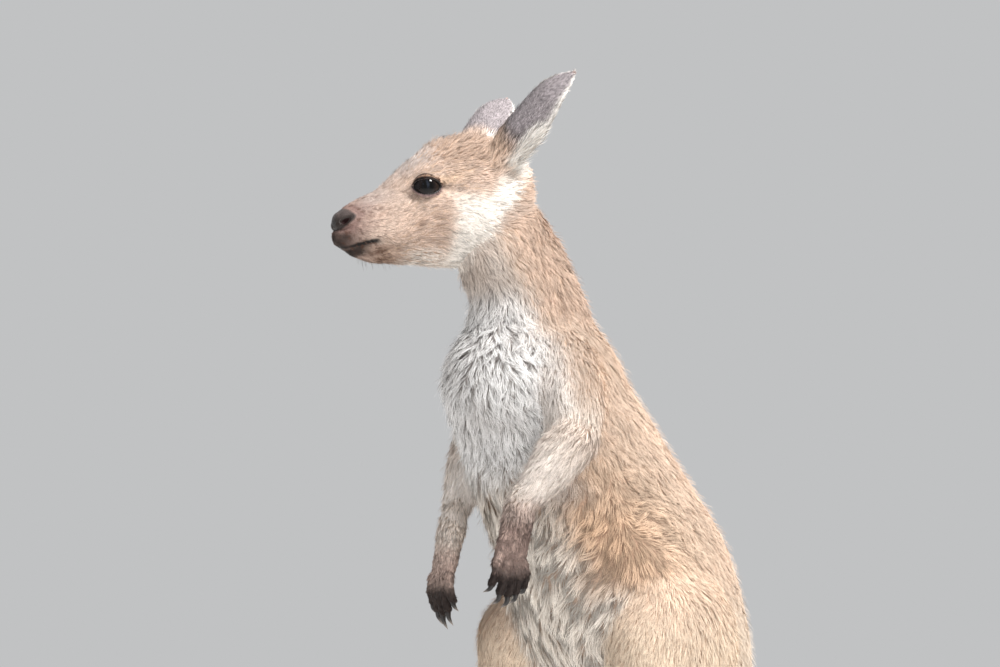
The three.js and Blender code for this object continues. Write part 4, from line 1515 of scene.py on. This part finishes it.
    def finish_hair(self):
        """Specks and grain, darker roots where the hair is short, and soft borders but on the face."""
        p, head, a, net = self.points, self.head, self.a, self.net
        spots = head * step(100, 40, a) * step(0.26, 0.6, noise(p, 1.7, 5)) * (0.26 + 0.46 * step(50, 20, a))
        self.lay("speck", spots)
        tip = self.tip * (1 + 0.22 * self.ear * noise(p, 1.5, 15))[:, None]
        tip = tip * (1 + 0.05 * self.coarse + 0.06 * self.mid + 0.05 * self.fine)[:, None]
        self.short = step(5.5, 2.0, self.hair[:, 0])
        root = mix(self.root, tip * 0.62, self.short * (1 - self.on("hand")))
        sharp = np.maximum.reduce([head * (a < 70), self.pad, self.eye_ring, self.ear_in, self.ear_edge])
        sharp = np.clip(sharp, 0, 1)
        self.tip = mix(net.soften(tip, 3), tip, sharp)
        self.root = mix(net.soften(root, 3), root, sharp)

    def colour_skin(self):
        head, height = self.head, self.lid_height
        rim = head * step(4.4, 3.0, self.lids - 3.0 * step(4, 20, height))
        bare = mix(self.tip * 0.8, self.root, 1 - self.short)
        for tone, mask in (
            (TONES["pad"], self.nose),
            # painted sheen: the top of the nose pad is lighter, standing in for the light its wet skin
            # catches
            (TONES["pad_painted_sheen"], self.nose * step(573, 582, self.z + 2 * self.fine) * 0.75),
            # the nostril's hollow: its own dark red lining, and painted shade that makes it near black
            (TONES["nostril"] * 0.6, head * step(0.7, -0.3, self.hole)),
            (TONES["rim"] * 0.6, head * step(1.6, 0.8, self.mouth) * step(30, 26, self.a)),
            (TONES["rim"], np.maximum(rim, self.eye_corner)),
            (TONES["sole"], np.maximum(self.sole, self.ground)),
        ):
            bare = mix(bare, tone, mask)
        self.bare = bare
        eyes = head * step(3.2, 0.5, self.lids) * step(8, -2, height)
        lips = head * step(1.2, 0.5, self.mouth)
        nose = self.nose * 0.9 * step(0.0, 1.2, self.hole)
        self.wet = np.clip(np.maximum.reduce([nose, eyes * 0.9, 0.4 * lips]), 0, 1)


# ------------------------------------------------------------------------------------------------
# Tufts

COAT_PIECES = 8
COAT_TRIANGLES = 1_412_000
LONG_HAIR = 11.0  # mm: from this length a tuft has two more faces
PATCH = 0.003  # of the unwrap, across one tuft
TUFT_COVER = 0.55  # of a tuft's length times its width
ROOT_SUNK = 0.4
APART = 4.0  # keeps the two faces of an ear or a finger apart in the search for the nearest clump
# Share of the length, and of the width there
SHORT_TUFT = ((0, 0.8), (0.5, 0.95), (1, 0))
LONG_TUFT = ((0, 0.75), (0.33, 1.0), (0.68, 0.72), (1, 0))


def scatter(expected, count=None):
    """Indices drawn evenly, each as often as expected."""
    edge = np.cumsum(expected)
    count = int(edge[-1]) if count is None else count
    at = (np.arange(count) + rng.random(count)) * (edge[-1] / count)
    return np.minimum(np.searchsorted(edge, at), len(expected) - 1)


def corner_weights(count):
    r, v = np.sqrt(rng.random(count)), rng.random(count)
    return np.column_stack([1 - r, r * (1 - v), r * v])


def nearest(places, seeds):
    tree = tree_of(seeds)
    return np.array([tree.find(p)[1] for p in places])


def turned(v, axis, angle):
    c, s = np.cos(angle)[:, None], np.sin(angle)[:, None]
    return v * c + np.cross(axis, v) * s + axis * dot(axis, v)[:, None] * (1 - c)


def grow(mesh, coat):
    """Tufts over the whole skin: their values, nearest vertices, clumps and locks (clumps of clumps)."""
    mesh.calc_loop_triangles()
    faces = np.empty(len(mesh.loop_triangles) * 3, np.int32)
    mesh.loop_triangles.foreach_get("vertices", faces)
    faces = faces.reshape(-1, 3)
    p = coat.points
    a, b, c = p[faces[:, 0]], p[faces[:, 1]], p[faces[:, 2]]
    area = np.linalg.norm(np.cross(b - a, c - a), axis=1) / 2
    length, _, width, clump, _, cover = coat.hair.T
    each = cover / (TUFT_COVER * width * length) * (1 - coat.bald) * (coat.bald < 0.5)
    expected = area * each[faces].mean(1)
    cost = np.where(length[faces].mean(1) > LONG_HAIR, 5, 3)
    scale = min(1.0, COAT_TRIANGLES / (expected * cost).sum())
    head, hand = coat.head, coat.on("hand")
    neck, limbs = coat.on("neck", "forearm"), coat.on("shank", "tail", "foot")
    fields = np.column_stack([
        p, coat.normals, coat.flow, coat.hair, coat.tip, coat.root,
        coat.chest + coat.belly + 0.8 * coat.flank,  # shaggy
        0.4 * head + 1.5 * coat.ear + hand,  # speckled
        coat.belly + 0.7 * coat.flank,  # woolly
        head * step(15, 60, coat.a) + 1.5 * hand + 0.7 * neck + 0.5 * limbs,  # tousled
    ])

    def sample(face):
        w = corner_weights(len(face))
        corners = faces[face]
        rows = sum(w[:, k, None] * fields[corners[:, k]] for k in range(3))
        first = corners[np.arange(len(face)), w.argmax(1)]
        return rows, first

    def apart(rows):
        return rows[:, :3] + rows[:, 3:6] * APART

    reach = clump[faces].mean(1)
    seeds, _ = sample(scatter(area / (2.4 * reach ** 2) * (1 - coat.bald[faces].mean(1))))
    locks, _ = sample(scatter(area / (2.4 * (2.6 * reach) ** 2)))
    lock_of_seed = nearest(apart(seeds), apart(locks))
    rows, first = sample(scatter(expected * scale))
    of_clump = nearest(apart(rows), apart(seeds))
    return rows, first, seeds, locks, of_clump, lock_of_seed[of_clump]


def pull(root, normal, target, limit):
    """The way along the skin to a target, no longer than the limit, and how far off the target is."""
    way = target - root
    way = way - normal * dot(way, normal)[:, None]
    reach = np.linalg.norm(way, axis=1, keepdims=True)
    return way * np.minimum(1, limit[:, None] / np.maximum(reach, 1e-6)), reach[:, 0]


def tuft_arrays(grown):
    """Shape and light of every tuft."""
    rows, first, seeds, locks, of_clump, of_lock = grown
    count, groups = len(rows), len(seeds)
    root, normal, flow, hair, tip, base, kinds = np.split(rows, [3, 6, 9, 15, 18, 21], axis=1)
    normal, flow = unit(normal), unit(flow)
    length, lift, width, clump, curl, _ = hair.T.copy()
    shaggy, speckled, woolly, tousled = np.clip(kinds, 0, 1.5).T
    shaggy = np.minimum(shaggy, 1)
    flow = unit(flow - normal * dot(flow, normal)[:, None])
    gauss = rng.standard_normal
    lock_turn, lock_light = gauss(len(locks)), gauss(len(locks))
    turn, light, rise, longer = gauss(groups), gauss(groups), gauss(groups), gauss(groups)
    bend = rng.uniform(-1, 1, groups)
    spread = 0.13 + 0.30 * curl
    angle = spread * (0.6 * turn[of_clump] + 0.5 * lock_turn[of_lock]) + 0.10 * gauss(count)
    ahead = turned(flow, normal, angle)
    across = np.cross(normal, ahead)
    stray = rng.random(count) < 0.07 + 0.05 * (1 - shaggy) * (1 - np.minimum(speckled, 1))
    varied = np.clip(1 + 0.12 * longer[of_clump] + 0.14 * gauss(count), 0.55, 1.5)
    length = length * varied * np.where(stray, 1.25, 1)
    width = width * np.where(stray, 0.65, 1)
    ruffle = 0.10 + 0.14 * np.maximum(shaggy, tousled)
    degrees = lift * (1 + ruffle * rise[of_clump]) + 3.0 * gauss(count) + np.where(stray, 30, 0)
    rising = np.radians(np.clip(degrees, 3, 70))
    to_seed, _ = pull(root, normal, seeds[of_clump, :3], 1.6 * clump)
    to_lock, reach = pull(root, normal, locks[of_lock, :3], 4.0 * clump)
    deep = step(0.55, 1.0, reach / (2.3 * clump)) * woolly  # between two locks
    rising = rising * (1 + woolly * (0.25 - 0.75 * deep))
    length = length * (1 - 0.25 * deep)
    seed_draw = np.where(stray, 0.05, 0.10 + 0.42 * np.maximum(shaggy, 0.85 * tousled))[:, None]
    lock_draw = (0.05 + 0.12 * shaggy)[:, None]
    roll = rng.uniform(-0.6, 0.6, count)
    wide = np.cos(roll)[:, None] * across + np.sin(roll)[:, None] * normal
    bent = (bend[of_clump] * curl)[:, None]
    shimmer = 0.04 + 0.04 * tousled + 0.19 * speckled
    light = 1 + (0.025 + 0.085 * tousled) * light[of_clump] + 0.04 * lock_light[of_lock]
    light = light + shimmer * gauss(count)
    light = np.where(rng.random(count) < 0.10 * speckled, light * (0.82 - 0.16 * speckled), light)
    # painted shade: a tuft deep between two woolly locks is made darker, as the clefts fall in shade
    light = np.clip(light * (1 - 0.46 * deep), 0.35, 1.4)
    light = np.minimum(light, 0.97 / np.maximum(tip.max(1), 1e-3))

    def level(t, swell):
        """The middle and the half width of every tuft at a share of its length."""
        along = length * (t * np.cos(rising))
        up = length * np.sin(rising) * (t - 0.5 * t * t) - ROOT_SUNK * (1 - t)
        middle = root + ahead * along[:, None] + normal * up[:, None]
        middle = middle + across * (length * (0.42 * t * t - 0.10 * t))[:, None] * bent
        middle = middle + to_seed * seed_draw * t ** 1.3 + to_lock * lock_draw * t ** 1.6
        middle[:, 2] = np.maximum(middle[:, 2], 0.15)
        return middle, wide * (width * swell / 2)[:, None]

    return dict(
        levels={stop: level(*stop) for stop in set(SHORT_TUFT + LONG_TUFT)},
        normal=normal, blade=unit(np.cross(ahead, wide)), wide=wide, long=length > LONG_HAIR, light=light,
        tip=tip, base=base, clump=of_clump, first=first, root=root,
        round=0.16 + 0.24 * np.clip(shaggy + tousled + 0.5 * speckled, 0, 1),
    )


def unwrapped(coat, tufts):
    """Each tuft's place on the unwrap, from the skin's vertex nearest to it."""
    chart, first = coat.chart, tufts["first"]
    off = tufts["root"] - coat.points[first]
    uv = chart.uv[first] + np.column_stack([dot(off, chart.turn[first]), dot(off, chart.tangent[first])])
    return uv / chart.side


def tuft_blades(tufts, uv, chosen, stops, start):
    """Points, normals, tones, places on the unwrap and faces of the chosen tufts."""
    columns, rows, faces = [], [], []
    normal, blade, wide = (tufts[key][chosen] for key in ("normal", "blade", "wide"))
    swing = tufts["round"][chosen, None]
    count = len(normal)
    for t, swell in stops:
        middle, half = (v[chosen] for v in tufts["levels"][t, swell])
        tone = mix(tufts["base"][chosen], tufts["tip"][chosen], np.full(count, min(1, 0.22 + t ** 0.8)))
        tone = tone * tufts["light"][chosen, None]
        for k in (-1, 1) if swell else (0,):
            lean = unit((1 - swing) * normal + swing * (blade + k * wide))
            columns.append((middle + half * k, lean, tone, uv[chosen] + [PATCH * 0.5 * k, PATCH * (t - 0.5)]))
            rows.append(start + np.arange(count))
            start += count
    for r in range(0, len(rows) - 3, 2):
        a, b, c, d = rows[r:r + 4]
        faces += [np.column_stack([a, d, b]), np.column_stack([a, c, d])]
    faces.append(np.column_stack([rows[-3], rows[-1], rows[-2]]))
    return columns, faces, start


def coat_piece(name, tufts, uv, chosen, material):
    columns, faces, start = [], [], 0
    for group, stops in ((chosen & ~tufts["long"], SHORT_TUFT), (chosen & tufts["long"], LONG_TUFT)):
        more, triangles, start = tuft_blades(tufts, uv, np.flatnonzero(group), stops, start)
        columns += more
        faces += triangles
    points, normals, tones, uvs = (np.concatenate(v) for v in zip(*columns))
    faces = np.concatenate(faces)
    mesh = make_mesh(name, points, faces)
    set_colours(mesh, "tone", tones)
    layer = mesh.uv_layers.new(name="OFBake")
    layer.data.foreach_set("uv", np.clip(uvs, 0.001, 0.999)[faces.ravel()].astype(np.float32).ravel())
    mesh.polygons.foreach_set("use_smooth", np.ones(len(faces), bool))
    lean = mesh.attributes.new("custom_normal", "FLOAT_VECTOR", "POINT")
    lean.data.foreach_set("vector", normals.astype(np.float32).ravel())
    mesh.materials.append(material)
    mesh.update()
    return object_of(name, mesh)


def make_coat(mesh, coat):
    tufts = tuft_arrays(grow(mesh, coat))
    uv = unwrapped(coat, tufts)
    material = coat_material()
    kind = tufts["clump"] % COAT_PIECES
    return [coat_piece(f"coat_{k + 1}", tufts, uv, kind == k, material) for k in range(COAT_PIECES)]


# ------------------------------------------------------------------------------------------------
# Eyes, claws and whiskers

EYE_RINGS = 40
EYE_SEGMENTS = 56
EYE_BULGE = 0.55
CLAW_LENGTH = 12.5
FINGER_CLAW_HALF = 2.3
LASHES = 60

def make_eye(side, s):
    """An eyeball that bulges a little at the pupil, round the way it looks."""
    centre, look, ahead, up = eye_frame(s)
    around = EYE_SEGMENTS
    angles = np.linspace(0.0, math.pi, EYE_RINGS + 1)[1:-1]
    turn = np.linspace(0, 2 * math.pi, around, endpoint=False)
    spokes = np.cos(turn)[:, None] * ahead + np.sin(turn)[:, None] * up * s
    points = [centre + look * (EYE_RADIUS + EYE_BULGE)]
    for angle in angles:
        r = EYE_RADIUS - 0.15 + 0.7 * float(step(48, 30, math.degrees(angle)))
        points += list(centre + r * (math.cos(angle) * look + math.sin(angle) * spokes))
    points.append(centre - look * EYE_RADIUS)
    faces = [(0, 1 + i, 1 + (i + 1) % around) for i in range(around)]
    for r in range(len(angles) - 1):
        for i in range(around):
            a, b = 1 + r * around + i, 1 + r * around + (i + 1) % around
            faces.append((a, a + around, b + around, b))
    last = len(points) - 1
    base = last - around
    faces += [(last, base + (i + 1) % around, base + i) for i in range(around)]
    mesh = make_mesh(f"eye_{side}_ball", points, faces)
    degrees = np.concatenate([[0.0], np.repeat([math.degrees(a) for a in angles], around), [180.0]])
    set_colours(mesh, "tone", eye_tones(np.array(points), degrees, centre, ahead, up))
    return smooth_piece(f"eye_{side}_ball", mesh, eye_material())


def eye_tones(points, degrees, centre, ahead, up):
    """Pupil, iris and the dark white of the eye, with a faint painted reflection of sky streaked over the
    iris.
    """
    iris = linear(0.085, 0.06, 0.055) * (1 + 0.35 * noise(points, 0.9, 31))[:, None]
    pupil = np.tile(linear(0.02, 0.016, 0.016), (len(degrees), 1))
    tone = mix(pupil, iris, step(21, 25, degrees))
    tone = mix(tone, linear(0.07, 0.05, 0.045), step(40, 50, degrees))
    tone = mix(tone, linear(0.13, 0.10, 0.09), step(66, 76, degrees))
    rel = points - centre
    flat = rel @ np.array([ahead, up]).T @ np.array([[1, 0, 0], [0, 0.18, 0]])
    # painted reflection: pale cool streaks of sky over the upper part of the iris
    high = near(rel @ up / EYE_RADIUS, 0.16, 0.26) * step(50, 25, degrees)
    return mix(tone, linear(0.19, 0.215, 0.26), high * step(0.0, 0.5, noise(flat, 1.1, 33)) * 0.45)


def claw_rows():
    """The path and thickness of every claw, and its upper side: hands first, then feet, side by side."""
    for side, s in SIDES:
        back, place = hand_frame(side, s)
        h, curl = FINGER_CLAW_HALF, POSES[side]["curl"]
        for off, reach, share in finger_reaches(side):
            c = CLAW_LENGTH * share
            table = [
                (reach - 2.5, 1.23, -1.3 * curl, h * 0.8), (reach + 0.5, 1.25, -1.6 * curl, h),
                (reach + c * 0.4, 1.29, -2.8 * curl, h * 0.8),
                (reach + c * (0.75 - 0.2 * curl), 1.31, -1 - 5 * curl, h * 0.5),
                (reach + c * (1 - 0.35 * curl), 1.33, -2 - 7 * curl, 0.35),
            ]
            yield [[*place(off * across, down, out), r * 0.8, r, r] for down, across, out, r in table], back
        for (x, y, z), long, half, splay in toe_claws(s):
            yield [
                [x - 3, y, z, half * 0.8, half * 0.8, half * 0.7], [x, y, z, half, half * 1.1, half * 0.9],
                [x + long * 0.4, y + splay * 0.4, z - 0.4, half * 0.85, half, half * 0.8],
                [x + long * 0.8, y + splay * 0.8, z - 2.2, half * 0.5, half * 0.55, half * 0.5],
                [x + long * 0.99, y + splay, z - 3.6, half * 0.16, half * 0.2, half * 0.2],
            ], Z


def make_claws():
    forms = [loft("claw", rows, front, segments=18, steps=6, ends=(0, 0.3)) for rows, front in claw_rows()]
    mesh = joined_mesh("claws", forms)
    along = np.concatenate([
        np.append(np.repeat(f.distance / f.distance[-1], f.around), [0.0, 1.0]) for f in forms
    ])
    dark = np.tile(linear(0.10, 0.08, 0.075), (len(along), 1))
    # paler towards the tip: the horn's own paler tip, and a painted glint
    tone = mix(dark, linear(0.56, 0.52, 0.49), step(0.5, 1.0, along) * 0.85)
    tone = mix(tone, linear(0.16, 0.12, 0.11), step(0.25, 0.1, along))
    keep_above(mesh, 0.2)
    set_colours(mesh, "tone", tone)
    return smooth_piece("claws", mesh, claw_material())


def ribbon(points, faces, path, radius):
    """A fine tapering three-sided hair along a path."""
    path = np.asarray(path)
    count = len(path)
    along = unit(np.gradient(path, axis=0))
    first = unit(np.cross(along, [0.31, 0.52, 0.79]))
    second = np.cross(along, first)
    base = len(points)
    for i in range(count - 1):
        r = radius * (1 - 0.8 * (i / (count - 1)) ** 1.5)
        for k in range(3):
            angle = 2 * math.pi * k / 3
            points.append(path[i] + r * (math.cos(angle) * first[i] + math.sin(angle) * second[i]))
    points.append(path[-1])
    tip = len(points) - 1
    for i in range(count - 1):
        for k in range(3):
            a, b = base + 3 * i + k, base + 3 * i + (k + 1) % 3
            faces.append((a, b, b + 3, a + 3) if i < count - 2 else (a, b, tip))
    faces.append((base + 2, base + 1, base))


def make_whiskers(coat):
    """Whiskers on the lips, over the eyes, under the chin and on the cheeks, and the upper lashes."""
    points, faces = [], []
    skin = tree_of(coat.points)

    def whisker(at, way, long, radius, droop):
        _, i, _ = skin.find(at)
        root, n = coat.points[i], coat.normals[i]
        way = unit(way + 0.25 * n)
        path = [
            root - n * 0.6 + way * long * t - Z * long * droop * t * t
            + n * long * 0.06 * math.sin(math.pi * t)
            for t in np.linspace(0, 1, 6)
        ]
        ribbon(points, faces, path, radius)

    for _, s in SIDES:
        out = s * OUTWARD
        for row in range(4):
            for k in range(6):
                a = 11 + 4.2 * k + rng.uniform(-1, 1)
                z = 570 - 3.6 * row + 0.1 * a + rng.uniform(-0.7, 0.7)
                way = -0.62 * AHEAD + 0.72 * out + (0.12 - 0.16 * row) * Z
                whisker(on_head(a, s * (13 + 0.16 * a), z), way, rng.uniform(12, 27), 0.10, 0.25)
        for k in range(4):
            at = on_head(58 + 4 * k, s * 24, 612.5 + 0.5 * k)
            whisker(at, -0.5 * AHEAD + 0.5 * out + 0.6 * Z, rng.uniform(9, 15), 0.09, 0.1)
        for _ in range(10):
            at = on_head(rng.uniform(14, 44), s * rng.uniform(2, 12), 540)
            whisker(at, -0.35 * AHEAD + 0.2 * out - 0.7 * Z, rng.uniform(5, 11), 0.09, 0.1)
        for k in range(4):
            way = -0.6 * AHEAD + 0.6 * out - 0.2 * Z
            whisker(on_head(78 + 3 * k, s * 36, 566), way, rng.uniform(10, 16), 0.09, 0.2)
        for path in lashes(s):
            ribbon(points, faces, path, 0.13)
    return smooth_piece("whiskers", make_mesh("whiskers", points, faces), whisker_material())


def lashes(s):
    """The path of each lash along the edge of an upper lid."""
    centre, look, ahead, up = eye_frame(s)
    for k in range(LASHES):
        across = math.radians(-60 + 118 * (k + rng.uniform(-0.3, 0.3)) / (LASHES - 1))
        arch = max(0.0, 1 - abs(math.degrees(across) / LID_REACH) ** LID_ROUND) ** 0.62
        height = math.radians(LID_UP * arch - 1.5)
        d = math.cos(height) * (math.cos(across) * look + math.sin(across) * ahead) + math.sin(height) * up
        root = centre + d * (EYE_RADIUS + EYE_BULGE)
        way = unit(look + 0.7 * math.sin(across) * ahead + rng.uniform(-0.2, 0.2) * ahead - 0.5 * up)
        long = rng.uniform(1.6, 2.5)
        yield [root + way * long * t + up * long * 0.25 * t * t for t in np.linspace(0, 1, 5)]


# ------------------------------------------------------------------------------------------------
# The whole animal


def place(piece, slot, nodes):
    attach(piece, "root")
    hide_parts(*nodes)


def main():
    make_camera()
    make_studio()
    mesh, forms = make_skin()
    coat = Coat(mesh, forms)
    claws = [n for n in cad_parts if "claw" in n]
    eyes = [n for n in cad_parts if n.startswith("eye")]
    flesh = [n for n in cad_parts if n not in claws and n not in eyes]
    set_colours(mesh, "tone", coat.bare)
    set_numbers(mesh, "wet", coat.wet)
    place(smooth_piece("skin", mesh, skin_material()), "coat", flesh)
    for piece in make_coat(mesh, coat):
        place(piece, "coat", flesh)
    for side, s in SIDES:
        place(make_eye(side, s), "eyes", [f"eye_{side}"])
    place(make_claws(), "claws", claws)
    place(make_whiskers(coat), "coat", ["head"])


main()
